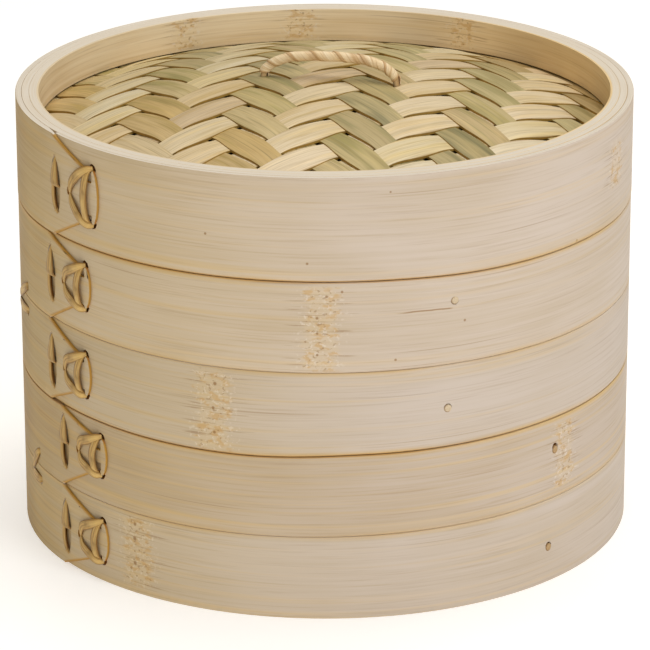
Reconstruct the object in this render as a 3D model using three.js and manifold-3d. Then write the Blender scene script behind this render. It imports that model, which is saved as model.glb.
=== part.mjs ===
// Two-tier bamboo steamer basket with a woven, domed lid.
// Millimetres, +Z up, the stack's axis on Z and its lowest hoops on z = 0.
// Angles round the wall are in degrees from the front (-Y) towards the right (+X).

import * as THREE from 'three';
import { mergeVertices } from 'three/addons/utils/BufferGeometryUtils.js';
import Module from 'manifold-3d';

const wasm = await Module();
wasm.setup();

// ---- Driving dimensions ----------------------------------------------------

const GAP = 0.3;                  // clearance left between neighbouring pieces
const OVERCUT = 2.0;              // how far a cutter reaches past what it cuts
const HOOP_FACETS = 48;           // flat facets round a hoop
const PANEL_FACETS = 32;          // facets round the woven panels

// The wall is laminated: outer band, backing hoop, inner hoop.
const TIER_RADIUS = 101.5;        // outside of a tier's bands
const LID_RADIUS = 102.0;         // outside of the lid's band
const INNER_RADIUS = 94.0;        // inside of every wall
const BAND_THICKNESS = 2.0;
const BACKING_THICKNESS = 2.4;
const LAP_STEP = 0.9;             // how far the band's lapped tongue stands out
const LAP_BLEND = 60;             // degrees over which the band grows back to full thickness

// A tier's inner wall stands up as a lip, and the piece above fits over it.
const LIP_HEIGHT = 8.5;
const SOCKET_DEPTH = 9.0;

// Floor of a tier, from its base upwards.
const BASE_HOOP_HEIGHT = 7.0;
const CROSS_BAR_WIDTH = 10.0;
const CROSS_BAR_THICKNESS = 3.0;
const CROSS_BAR_OFFSET = 45.0;    // from the middle of the floor
const SLAT_COUNT = 10;
const SLAT_PITCH = 18.6;
const SLAT_WIDTH = 13.0;
const SLAT_THICKNESS = 2.2;

// Lid.
const LID_HEIGHT = 34.0;
const PANEL_DROP = 11.6;          // woven panel's edge below the lid's rim
const PANEL_THICKNESS = 2.2;
const LINING_THICKNESS = 1.5;
const DOME_RISE = 14.5;
const DOME_MARGIN = 0.5;          // flat edge of the panels inside the rim hoop
const DOME_STEPS = 5;             // rings of facets from the middle of the dome to its edge

// Handle on the lid, a bent withe wrapped with a bamboo strip.
const HANDLE_CENTRE = [1.8, -1.9];
const HANDLE_TURN = -11.4;        // degrees
const HANDLE_HALF_SPAN = 22.3;
const HANDLE_RISE = 9.5;          // top of the wrapped loop above the dome
const HANDLE_CORE_RADIUS = 0.95;
const HANDLE_WRAP_THICKNESS = 0.45;
const WRAP_START = 0.19;          // share of the withe left bare at each end
const WRAP_STEPS = 20;
const WITHE_STEPS = 26;
const HANDLE_TAIL = 7.0;          // how far the withe's ends reach below the top of the dome

// Lacing strips and pegs.
const LACE_WIDTH = 3.0;
const LACE_THICKNESS = 1.0;
const LACE_LEG_RADIUS = 1.7;      // half the diagonal of a leg
const LACE_LEG_DEPTH = 4.2;       // ends inside the backing hoop
const WALL_CUT_DEPTH = 7.0;       // clears the band and the backing hoop
const LACE_LEG_SIDES = 4;
const PEG_RADIUS = 1.4;
const PEG_FACETS = 8;

// Every band: its span above the base of its own tier or lid, the angle of the end of its
// lapped tongue, and the heights of the two lacing holes there.
const LOWER_TIER = {
  height: 55.5,
  bands: {
    bottom: { bottom: 0, top: 27.8, lap: -45.5, holes: [7.5, 20.6], peg: [45.3, 12.1] },
    top: { bottom: 27.8, top: 55.5, lap: -45.5, holes: [37.6, 50.0], peg: [46.7, 45.3] },
  },
  sideStitch: [[-72.8, 24.2], [-68.3, 32.4], [-67.5, 23.0]],
};
const UPPER_TIER = {
  height: 57.6,
  bands: {
    bottom: { bottom: 0, top: 28.0, lap: -49.4, holes: [7.7, 20.7], peg: [22.3, 13.3] },
    top: { bottom: 28.0, top: 57.6, lap: -49.0, holes: [37.3, 51.0], peg: [23.5, 49.0] },
  },
  sideStitch: [[-84.0, 22.4], [-73.5, 31.6], [-73.5, 23.2]],
};
const LID_BAND = { bottom: 0, top: LID_HEIGHT, lap: -46.3, holes: [8.9, 26.9] };

// The lacing beside a tongue: a fan whose point lies left of the holes, then a spindle.
const FAN_REACH = 6.6;            // degrees from the holes to the fan's point
const FAN_DROP = 0.7;             // fan's point below the middle of the holes
const SPINDLE_REACH = 11.2;       // degrees from the holes to the spindle
const SPINDLE_LENGTH = 17.0;
const SPINDLE_WIDTH = 5.6;
const SPINDLE_DROP = 0.4;         // spindle's middle below the middle of the holes
const TONGUE_ROOT = 12.0;         // degrees from the tongue's end back to where it starts to taper
const TONGUE_SHOULDER = 3.6;      // degrees from the tongue's end back to its shoulders
const TONGUE_BULGE = 1.5;         // degrees by which the tongue's rounded end passes the holes
const TONGUE_MARGIN = 1.2;        // tongue beyond each lacing hole
const CLEARED_PAST_TONGUE = 6.0;  // degrees of full lap step beyond the tongue's end
const TONGUE_CUT_DEPTH = 10.0;    // reaches behind the curve of the wall

// ---- Materials -------------------------------------------------------------

function bamboo(color, roughness) {
  return new THREE.MeshStandardMaterial({ color, roughness, metalness: 0 });
}

const bandBamboo = bamboo(0xd3b88c, 0.55);
const wallBamboo = bamboo(0xdcc6a0, 0.6);
const slatBamboo = bamboo(0xcfae78, 0.6);
const wovenBamboo = bamboo(0xc2ab72, 0.55);
const laceBamboo = bamboo(0xc09a60, 0.5);
const pegBamboo = bamboo(0xb08f5c, 0.6);

// ---- Solids ----------------------------------------------------------------

function toSolid(geometry) {
  const bare = geometry.clone();
  bare.deleteAttribute('normal');
  bare.deleteAttribute('uv');
  const merged = mergeVertices(bare, 1e-4);
  const vertProperties = Float32Array.from(merged.attributes.position.array);
  const triVerts = Uint32Array.from(merged.index.array);
  return new wasm.Manifold(new wasm.Mesh({ numProp: 3, vertProperties, triVerts }));
}

function toGeometry(solid) {
  const mesh = solid.getMesh();
  const geometry = new THREE.BufferGeometry();
  geometry.setAttribute('position', new THREE.BufferAttribute(mesh.vertProperties, 3));
  geometry.setIndex(new THREE.BufferAttribute(mesh.triVerts, 1));
  geometry.computeVertexNormals();
  return geometry;
}

function cut(geometry, cutters) {
  let solid = toSolid(geometry);
  for (const cutter of cutters) {
    solid = solid.subtract(toSolid(cutter));
  }
  return toGeometry(solid);
}

function join(geometries) {
  let solid = toSolid(geometries[0]);
  for (const geometry of geometries.slice(1)) {
    solid = solid.add(toSolid(geometry));
  }
  return toGeometry(solid);
}

function mesh(name, geometry, material) {
  const result = new THREE.Mesh(geometry, material);
  result.name = name;
  return result;
}

// Ring of rectangular section about Z.
function ring(inner, outer, bottom, top) {
  const profile = [
    new THREE.Vector2(inner, bottom),
    new THREE.Vector2(outer, bottom),
    new THREE.Vector2(outer, top),
    new THREE.Vector2(inner, top),
    new THREE.Vector2(inner, bottom),
  ];
  return new THREE.LatheGeometry(profile, HOOP_FACETS).rotateX(Math.PI / 2);
}

// Places a shape drawn flat (x along the wall, y up, z outwards) on the wall.
function wallPlace(angle, radius, height) {
  const turn = THREE.MathUtils.degToRad(angle);
  const along = new THREE.Vector3(Math.cos(turn), Math.sin(turn), 0);
  const up = new THREE.Vector3(0, 0, 1);
  const outwards = new THREE.Vector3(Math.sin(turn), -Math.cos(turn), 0);
  const place = new THREE.Matrix4().makeBasis(along, up, outwards);
  return place.setPosition(outwards.clone().multiplyScalar(radius).setZ(height));
}

// Radial bar through the wall, from one radius to another.
function radialBar(angle, height, barRadius, from, to) {
  const bar = new THREE.CylinderGeometry(barRadius, barRadius, to - from, PEG_FACETS);
  bar.rotateX(Math.PI / 2);
  return bar.applyMatrix4(wallPlace(angle, (from + to) / 2, height));
}

function pegCutter([angle, height]) {
  const bore = PEG_RADIUS + GAP;
  return radialBar(angle, height, bore, INNER_RADIUS - OVERCUT, TIER_RADIUS + OVERCUT);
}

// ---- Bands with a lapped tongue --------------------------------------------

// Outer band whose outside drops by LAP_STEP just past the tongue and grows back round the wall.
function lappedRing(inner, outer, band, lapHeight) {
  const geometry = ring(inner, outer, band.bottom, lapHeight);
  const position = geometry.attributes.position;
  for (let i = 0; i < position.count; i += 1) {
    const x = position.getX(i);
    const y = position.getY(i);
    const radius = Math.hypot(x, y);
    const past = THREE.MathUtils.radToDeg(Math.atan2(x, -y)) + 1e-3;
    if (radius > (inner + outer) / 2 && past > 1 && past < LAP_BLEND) {
      const lowered = outer - LAP_STEP * (1 - past / LAP_BLEND);
      position.setXY(i, (x * lowered) / radius, (y * lowered) / radius);
    }
  }
  return geometry;
}

// Cutter that leaves the tongue standing: it takes LAP_STEP off everything round it.
function tongueCutter(outer, band) {
  const alongWall = THREE.MathUtils.degToRad(1) * outer;
  const root = -TONGUE_ROOT * alongWall;
  const shoulder = -TONGUE_SHOULDER * alongWall;
  const end = CLEARED_PAST_TONGUE * alongWall;
  const [lowHole, highHole] = band.holes;
  const low = lowHole - TONGUE_MARGIN;
  const high = highHole + TONGUE_MARGIN;
  const outline = new THREE.Shape();
  outline.moveTo(root, band.bottom - OVERCUT);
  outline.lineTo(end, band.bottom - OVERCUT);
  outline.lineTo(end, band.top + OVERCUT);
  outline.lineTo(root, band.top + OVERCUT);
  outline.lineTo(root, band.top);
  outline.lineTo(shoulder, high);
  outline.lineTo(0, high);
  outline.quadraticCurveTo(2 * TONGUE_BULGE * alongWall, (low + high) / 2, 0, low);
  outline.lineTo(shoulder, low);
  outline.lineTo(root, band.bottom);
  const depth = TONGUE_CUT_DEPTH + OVERCUT;
  const block = new THREE.ExtrudeGeometry(outline, { depth, bevelEnabled: false, curveSegments: 4 });
  block.applyMatrix4(wallPlace(0, outer - TONGUE_CUT_DEPTH, 0));
  const kept = outer - LAP_STEP;
  const core = new THREE.CylinderGeometry(kept, kept, 4 * TIER_RADIUS, HOOP_FACETS);
  core.rotateX(Math.PI / 2);
  return cut(block, [core]);
}

function bandGeometry(outer, band, holes) {
  const inner = outer - BAND_THICKNESS;
  const lapped = lappedRing(inner, outer, band, band.top - GAP);
  const tongued = cut(lapped, [tongueCutter(outer, band)]);
  tongued.rotateZ(THREE.MathUtils.degToRad(band.lap));
  return cut(tongued, holes);
}

// ---- Lacing ----------------------------------------------------------------

// Flat strip between two points of the lacing plane.
function laceStrip(from, to, width) {
  const run = to.clone().sub(from);
  const strip = new THREE.BoxGeometry(run.length(), width, LACE_THICKNESS);
  strip.rotateZ(run.angle());
  return strip.translate((from.x + to.x) / 2, (from.y + to.y) / 2, LACE_THICKNESS / 2);
}

// Square leg that goes from the strip's face into the wall.
function laceLeg(at, legRadius, top, depth) {
  const leg = new THREE.CylinderGeometry(legRadius, legRadius, top + depth, LACE_LEG_SIDES);
  leg.rotateX(Math.PI / 2);
  leg.rotateZ(Math.PI / 4);
  return leg.translate(at.x, at.y, (top - depth) / 2);
}

// Lacing lies flat against the wall at the middle of its holes, given as [angle, height].
function lacePlane(outer, holes) {
  const angles = holes.map((hole) => hole[0]);
  const middle = (Math.min(...angles) + Math.max(...angles)) / 2;
  const plane = outer + GAP;
  const points = holes.map(([angle, height]) => {
    const offset = THREE.MathUtils.degToRad(angle - middle);
    return new THREE.Vector2(plane * Math.tan(offset), height);
  });
  return { points, place: wallPlace(middle, plane, 0) };
}

// Strips laced through the holes, one for each pair of holes in runs.
function lacing(name, outer, holes, runs) {
  const { points, place } = lacePlane(outer, holes);
  const strips = runs.map(([from, to]) => laceStrip(points[from], points[to], LACE_WIDTH));
  const legs = points.map((point) => laceLeg(point, LACE_LEG_RADIUS, LACE_THICKNESS, LACE_LEG_DEPTH));
  return mesh(name, join([...strips, ...legs]).applyMatrix4(place), laceBamboo);
}

function laceHoleCutters(outer, holes) {
  const { points, place } = lacePlane(outer, holes);
  const bore = LACE_LEG_RADIUS + GAP;
  return points.map((point) => laceLeg(point, bore, OVERCUT, WALL_CUT_DEPTH).applyMatrix4(place));
}

function fanHoles(band) {
  const [low, high] = band.holes;
  const point = [band.lap - FAN_REACH, (low + high) / 2 - FAN_DROP];
  return [point, [band.lap, high], [band.lap, low]];
}

function spindleHoles(band) {
  const middle = (band.holes[0] + band.holes[1]) / 2 - SPINDLE_DROP;
  const reach = SPINDLE_LENGTH / 2 - LACE_LEG_RADIUS - GAP;
  const angle = band.lap - SPINDLE_REACH;
  return [[angle, middle + reach], [angle, middle - reach]];
}

function fanStitch(name, outer, band) {
  return lacing(name, outer, fanHoles(band), [[0, 1], [0, 2], [1, 2]]);
}

// Long pointed stitch that stands upright on the wall.
function spindleStitch(name, outer, band) {
  const holes = spindleHoles(band);
  const angle = holes[0][0];
  const middle = (holes[0][1] + holes[1][1]) / 2;
  const half = SPINDLE_LENGTH / 2;
  const outline = new THREE.Shape();
  outline.moveTo(-LACE_LEG_RADIUS, -half);
  outline.lineTo(LACE_LEG_RADIUS, -half);
  outline.lineTo(SPINDLE_WIDTH / 2, 0);
  outline.lineTo(LACE_LEG_RADIUS, half);
  outline.lineTo(-LACE_LEG_RADIUS, half);
  outline.lineTo(-SPINDLE_WIDTH / 2, 0);
  const leaf = new THREE.ExtrudeGeometry(outline, { depth: LACE_THICKNESS, bevelEnabled: false });
  const legs = holes.map((hole) => {
    const at = new THREE.Vector2(0, hole[1] - middle);
    return laceLeg(at, LACE_LEG_RADIUS, LACE_THICKNESS, LACE_LEG_DEPTH);
  });
  const geometry = join([leaf, ...legs]).applyMatrix4(wallPlace(angle, outer + GAP, middle));
  return mesh(name, geometry, laceBamboo);
}

function laceCutters(outer, band) {
  return [fanHoles(band), spindleHoles(band)].flatMap((holes) => laceHoleCutters(outer, holes));
}

// ---- Tiers -----------------------------------------------------------------

// Length of a straight bar, offset from the middle, whose corners just reach a radius.
function barLength(offset, width, radius) {
  return 2 * Math.sqrt(radius ** 2 - (Math.abs(offset) + width / 2) ** 2);
}

// Slat along Y whose ends follow the round wall.
function slatGeometry(offset, radius) {
  const left = offset - SLAT_WIDTH / 2;
  const right = offset + SLAT_WIDTH / 2;
  const outline = new THREE.Shape();
  const start = Math.asin(left / radius);
  const end = Math.asin(right / radius);
  outline.absarc(0, 0, radius, Math.PI / 2 - end, Math.PI / 2 - start, false);
  outline.absarc(0, 0, radius, -Math.PI / 2 + start, -Math.PI / 2 + end, false);
  const settings = { depth: SLAT_THICKNESS, bevelEnabled: false, curveSegments: 3 };
  return new THREE.ExtrudeGeometry(outline, settings);
}

function crossBarBox(offset, width, radius) {
  return new THREE.BoxGeometry(barLength(offset, width, radius), width, CROSS_BAR_THICKNESS);
}

function tierFloor(name, floorRadius) {
  const floor = new THREE.Group();
  const baseTop = SOCKET_DEPTH + BASE_HOOP_HEIGHT;
  const barMiddle = baseTop - CROSS_BAR_THICKNESS / 2;
  for (const [side, offset] of [['front', -CROSS_BAR_OFFSET], ['back', CROSS_BAR_OFFSET]]) {
    const box = crossBarBox(offset, CROSS_BAR_WIDTH, floorRadius);
    const bar = mesh(`${name}_${side}_cross_bar`, box, slatBamboo);
    bar.position.set(0, offset, barMiddle);
    floor.add(bar);
  }
  for (let i = 0; i < SLAT_COUNT; i += 1) {
    const offset = (i - (SLAT_COUNT - 1) / 2) * SLAT_PITCH;
    const slat = mesh(`${name}_slat_${i + 1}`, slatGeometry(offset, floorRadius), slatBamboo);
    slat.position.z = baseTop + GAP;
    floor.add(slat);
  }
  return floor;
}

// Narrow hoop under the slats, notched for the cross bars.
function baseHoopGeometry(outer, pegs) {
  const top = SOCKET_DEPTH + BASE_HOOP_HEIGHT;
  const notches = [-CROSS_BAR_OFFSET, CROSS_BAR_OFFSET].map((offset) => {
    const depth = CROSS_BAR_THICKNESS + GAP + OVERCUT;
    const notch = new THREE.BoxGeometry(3 * outer, CROSS_BAR_WIDTH + 2 * GAP, depth);
    return notch.translate(0, offset, top + OVERCUT - depth / 2);
  });
  return cut(ring(INNER_RADIUS, outer, SOCKET_DEPTH, top), [...notches, ...pegs]);
}

function tier(name, spec, base) {
  const group = new THREE.Group();
  group.position.z = base;
  const bandInner = TIER_RADIUS - BAND_THICKNESS;
  const backingOuter = bandInner - GAP;
  const backingInner = backingOuter - BACKING_THICKNESS;
  const wallOuter = backingInner - GAP;
  const wallBottom = SOCKET_DEPTH + BASE_HOOP_HEIGHT + SLAT_THICKNESS + 2 * GAP;
  const bands = Object.entries(spec.bands);
  const pegCutters = bands.map(([, band]) => pegCutter(band.peg));
  const sideCutters = laceHoleCutters(TIER_RADIUS, spec.sideStitch);
  const allLace = bands.flatMap(([, band]) => laceCutters(TIER_RADIUS, band));

  for (const [place, band] of bands) {
    const holes = [...pegCutters, ...sideCutters, ...laceCutters(TIER_RADIUS, band)];
    group.add(mesh(`${name}_${place}_band`, bandGeometry(TIER_RADIUS, band, holes), bandBamboo));
    group.add(fanStitch(`${name}_${place}_fan_stitch`, TIER_RADIUS, band));
    group.add(spindleStitch(`${name}_${place}_spindle_stitch`, TIER_RADIUS, band));
    const peg = radialBar(...band.peg, PEG_RADIUS, INNER_RADIUS + GAP, TIER_RADIUS + GAP / 2);
    group.add(mesh(`${name}_${place}_peg`, peg, pegBamboo));
  }
  group.add(lacing(`${name}_side_stitch`, TIER_RADIUS, spec.sideStitch, [[0, 1], [0, 2]]));

  const backing = ring(backingInner, backingOuter, 0, spec.height - GAP);
  const backingCut = cut(backing, [...pegCutters, ...sideCutters, ...allLace]);
  group.add(mesh(`${name}_backing_hoop`, backingCut, wallBamboo));
  const wall = ring(INNER_RADIUS, wallOuter, wallBottom, spec.height + LIP_HEIGHT);
  group.add(mesh(`${name}_inner_wall`, cut(wall, pegCutters), wallBamboo));
  group.add(mesh(`${name}_base_hoop`, baseHoopGeometry(wallOuter, pegCutters), wallBamboo));
  group.add(tierFloor(name, backingInner - GAP));
  return group;
}

// ---- Lid -------------------------------------------------------------------

const domeRadius = INNER_RADIUS - DOME_MARGIN;

function domeHeight(radius) {
  return DOME_RISE * Math.max(0, 1 - (radius / domeRadius) ** 2);
}

// Domed disc with a flat margin that the hoops clamp; z = 0 is the top of the margin.
function domeGeometry(edge, thickness) {
  const top = [new THREE.Vector2(edge, 0)];
  for (let i = DOME_STEPS; i >= 0; i -= 1) {
    const radius = (domeRadius * i) / DOME_STEPS;
    top.push(new THREE.Vector2(radius, domeHeight(radius)));
  }
  const bottom = top.map((point) => new THREE.Vector2(point.x, point.y - thickness)).reverse();
  return new THREE.LatheGeometry([...bottom, ...top], PANEL_FACETS).rotateX(Math.PI / 2);
}

// Path of the handle's withe, in its own upright plane; z = 0 is the top of the dome.
function handlePath() {
  const crown = HANDLE_RISE - HANDLE_CORE_RADIUS - GAP - HANDLE_WRAP_THICKNESS;
  const half = HANDLE_HALF_SPAN;
  const rising = [[1, -HANDLE_TAIL], [0.99, 0.06 * crown], [0.9, 0.45 * crown]];
  rising.push([0.66, 0.82 * crown], [0.33, 0.97 * crown]);
  const left = rising.map(([x, z]) => new THREE.Vector3(-x * half, 0, z));
  const right = left.map((point) => new THREE.Vector3(-point.x, 0, point.z)).reverse();
  return new THREE.CatmullRomCurve3([...left, new THREE.Vector3(0, 0, crown), ...right]);
}

function handleCore() {
  const section = new THREE.Shape().absarc(0, 0, HANDLE_CORE_RADIUS, 0, 2 * Math.PI, false);
  const settings = { steps: WITHE_STEPS, curveSegments: 4, extrudePath: handlePath() };
  return new THREE.ExtrudeGeometry(section, settings);
}

// Wrapping strip, a thin tube over the part of the withe above the dome.
function handleWrap() {
  const bore = HANDLE_CORE_RADIUS + GAP;
  const section = new THREE.Shape().absarc(0, 0, bore + HANDLE_WRAP_THICKNESS, 0, 2 * Math.PI, false);
  section.holes.push(new THREE.Path().absarc(0, 0, bore, 0, 2 * Math.PI, true));
  const path = handlePath();
  const points = [];
  for (let i = 0; i <= WRAP_STEPS; i += 1) {
    points.push(path.getPointAt(WRAP_START + ((1 - 2 * WRAP_START) * i) / WRAP_STEPS));
  }
  const extrudePath = new THREE.CatmullRomCurve3(points);
  return new THREE.ExtrudeGeometry(section, { steps: WRAP_STEPS, curveSegments: 4, extrudePath });
}

function handleHoleCutters(depth) {
  return [-1, 1].map((side) => {
    const bore = HANDLE_CORE_RADIUS + GAP;
    const hole = new THREE.CylinderGeometry(bore, bore, 2 * depth, PEG_FACETS);
    hole.rotateX(Math.PI / 2);
    hole.translate(side * HANDLE_HALF_SPAN, 0, 0);
    hole.rotateZ(THREE.MathUtils.degToRad(HANDLE_TURN));
    return hole.translate(...HANDLE_CENTRE, DOME_RISE);
  });
}

function lid(base) {
  const group = new THREE.Group();
  group.position.z = base;
  const backingOuter = LID_RADIUS - BAND_THICKNESS - GAP;
  const backingInner = backingOuter - BACKING_THICKNESS;
  const hoopOuter = backingInner - GAP;
  const holes = laceCutters(LID_RADIUS, LID_BAND);

  const band = { ...LID_BAND, top: LID_HEIGHT + GAP };
  group.add(mesh('lid_band', bandGeometry(LID_RADIUS, band, holes), bandBamboo));
  group.add(mesh('lid_backing_hoop', cut(ring(backingInner, backingOuter, 0, LID_HEIGHT), holes), wallBamboo));
  group.add(fanStitch('lid_fan_stitch', LID_RADIUS, LID_BAND));
  group.add(spindleStitch('lid_spindle_stitch', LID_RADIUS, LID_BAND));

  const panelTop = LID_HEIGHT - PANEL_DROP;
  const liningTop = panelTop - PANEL_THICKNESS - GAP;
  const rimHoop = ring(INNER_RADIUS, hoopOuter, panelTop + GAP, LID_HEIGHT);
  group.add(mesh('lid_rim_hoop', rimHoop, wallBamboo));
  const seatHoop = ring(INNER_RADIUS, hoopOuter, SOCKET_DEPTH, liningTop - LINING_THICKNESS - GAP);
  group.add(mesh('lid_seat_hoop', seatHoop, wallBamboo));

  const bores = handleHoleCutters(DOME_RISE);
  const dome = mesh('lid_woven_dome', cut(domeGeometry(hoopOuter, PANEL_THICKNESS), bores), wovenBamboo);
  dome.position.z = panelTop;
  group.add(dome);
  const lining = mesh('lid_woven_lining', cut(domeGeometry(hoopOuter, LINING_THICKNESS), bores), wovenBamboo);
  lining.position.z = liningTop;
  group.add(lining);

  const handle = new THREE.Group();
  handle.position.set(...HANDLE_CENTRE, panelTop + DOME_RISE);
  handle.rotation.z = THREE.MathUtils.degToRad(HANDLE_TURN);
  handle.add(mesh('lid_handle_withe', handleCore(), laceBamboo));
  handle.add(mesh('lid_handle_wrap', handleWrap(), laceBamboo));
  group.add(handle);
  return group;
}

// ---- Stack -----------------------------------------------------------------

const steamer = new THREE.Group();
steamer.add(tier('lower_tier', LOWER_TIER, 0));
steamer.add(tier('upper_tier', UPPER_TIER, LOWER_TIER.height));
steamer.add(lid(LOWER_TIER.height + UPPER_TIER.height));

export default steamer;
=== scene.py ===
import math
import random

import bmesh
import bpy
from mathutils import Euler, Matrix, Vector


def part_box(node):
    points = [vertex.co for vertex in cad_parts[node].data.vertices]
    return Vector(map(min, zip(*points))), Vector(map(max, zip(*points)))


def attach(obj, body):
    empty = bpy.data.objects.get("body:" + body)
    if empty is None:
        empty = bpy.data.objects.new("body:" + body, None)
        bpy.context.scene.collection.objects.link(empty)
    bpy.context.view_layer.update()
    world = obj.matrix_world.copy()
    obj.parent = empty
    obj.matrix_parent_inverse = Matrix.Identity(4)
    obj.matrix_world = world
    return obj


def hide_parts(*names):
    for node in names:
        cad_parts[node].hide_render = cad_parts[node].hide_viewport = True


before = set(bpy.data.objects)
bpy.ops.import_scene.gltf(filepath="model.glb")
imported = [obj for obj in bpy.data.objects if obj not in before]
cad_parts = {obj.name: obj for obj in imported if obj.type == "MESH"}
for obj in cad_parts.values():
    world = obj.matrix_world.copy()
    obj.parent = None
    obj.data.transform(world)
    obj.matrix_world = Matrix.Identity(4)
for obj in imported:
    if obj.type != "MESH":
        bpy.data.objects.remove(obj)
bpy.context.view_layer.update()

# %% [markdown]
# # A bamboo steamer basket
# Two stacked tiers and a lid with a woven dome. Everything here is split bamboo: long flat
# strips bent into hoops, laced with thin strips and pinned with pegs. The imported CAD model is
# the frame; each visible piece is modelled in its place with more detail. One idea runs
# through the whole file: a strip is shaped while it is flat, its flat position is stored on
# every vertex, and only then is it bent. The grain follows that stored position.

MM = 0.001

# %% [markdown]
# ## Camera, floor and light
# A long lens set well back keeps the hoops nearly parallel, as in a catalogue picture. The
# floor is a plain pale sheet that glows a little, so it stays white around the basket and
# throws light back on the lower hoops. A broad lamp at the front right models the round wall,
# a second in front and a third above soften it, and a weak warm sky fills the shadows.

# %% Camera
CAMERA_PLACE = Vector((0, -1.3133, 0.5326))
CAMERA_DOWN = math.radians(19.67)
CAMERA_ROLL = math.radians(-0.14)
camera_data = bpy.data.cameras.new("camera")
camera_data.lens = 229.9
camera_data.sensor_width = 36
camera_data.clip_end = 50
camera = bpy.data.objects.new("camera", camera_data)
bpy.context.scene.collection.objects.link(camera)
look = Matrix.Rotation(math.pi / 2 - CAMERA_DOWN, 4, "X") @ Matrix.Rotation(CAMERA_ROLL, 4, "Z")
camera.matrix_world = Matrix.Translation(CAMERA_PLACE) @ look
bpy.context.scene.camera = camera
bpy.context.scene.view_settings.view_transform = "Standard"
print("camera lens", camera_data.lens, "mm")

# %% Lights


def area_light(name, place, target, size, watts, colour):
    """Square lamp at a place in metres, turned towards its target."""
    data = bpy.data.lights.new(name, "AREA")
    data.size = size
    data.energy = watts
    data.color = colour
    lamp = bpy.data.objects.new(name, data)
    bpy.context.scene.collection.objects.link(lamp)
    turn = (Vector(target) - Vector(place)).to_track_quat("-Z", "Y")
    lamp.matrix_world = Matrix.Translation(place) @ turn.to_matrix().to_4x4()


STACK_MIDDLE = (0, 0, 0.08)
area_light("key", (1.3, -1.5, 0.95), STACK_MIDDLE, 1.0, 15.5, (0.96, 0.98, 1.0))
area_light("front", (-0.3, -2.0, 1.0), STACK_MIDDLE, 1.4, 8.5, (1.0, 0.98, 0.95))
area_light("top", (0.1, 0.25, 1.5), STACK_MIDDLE, 1.2, 14.0, (1.0, 0.99, 0.97))
world = bpy.data.worlds.new("studio")
world.use_nodes = True
world.node_tree.nodes["Background"].inputs["Color"].default_value = (1.0, 0.95, 0.86, 1)
world.node_tree.nodes["Background"].inputs["Strength"].default_value = 0.24
bpy.context.scene.world = world

# %% [markdown]
# ## Shader arithmetic
# Bamboo's look is mostly arithmetic on noise: streaks, fibres, flecks. Writing it as node
# links is slow to read, so a small class lets Python's own operators add the Math nodes.

# %% A number that varies over a surface


def operator(operation, swapped=False):
    """One of Python's operators as a Math node; swapped when a plain number comes first."""
    def act(self, other):
        return self.combine(operation, *((other, self) if swapped else (self, other)))
    return act


class Field:
    """Output of a node that can be used in Python arithmetic."""

    def __init__(self, finish, socket):
        self.finish = finish
        self.socket = socket

    def combine(self, operation, *terms):
        inputs = dict(enumerate(terms))
        return self.finish.node("ShaderNodeMath", {"operation": operation}, inputs)

    __add__ = operator("ADD")
    __radd__ = operator("ADD", swapped=True)
    __sub__ = operator("SUBTRACT")
    __rsub__ = operator("SUBTRACT", swapped=True)
    __mul__ = operator("MULTIPLY")
    __rmul__ = operator("MULTIPLY", swapped=True)
    __truediv__ = operator("DIVIDE")

    def __abs__(self):
        return self.combine("ABSOLUTE", self)

    def hypot(self, other):
        return self.combine("SQRT", self * self + other * other)

    def rise(self, low, high, top=1.0):
        """0 below low, top above high, with a soft step between."""
        settings = {"interpolation_type": "SMOOTHSTEP"}
        inputs = {0: self, 1: low, 2: high, 3: 0.0, 4: top}
        return self.finish.node("ShaderNodeMapRange", settings, inputs)


# %% One finish


def srgb(red, green, blue):
    """Colour picked on a 0 to 255 screen scale, as the linear light that shaders use."""
    def linear(value):
        share = value / 255
        return share / 12.92 if share <= 0.04045 else ((share + 0.055) / 1.055) ** 2.4
    return (linear(red), linear(green), linear(blue), 1.0)


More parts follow.
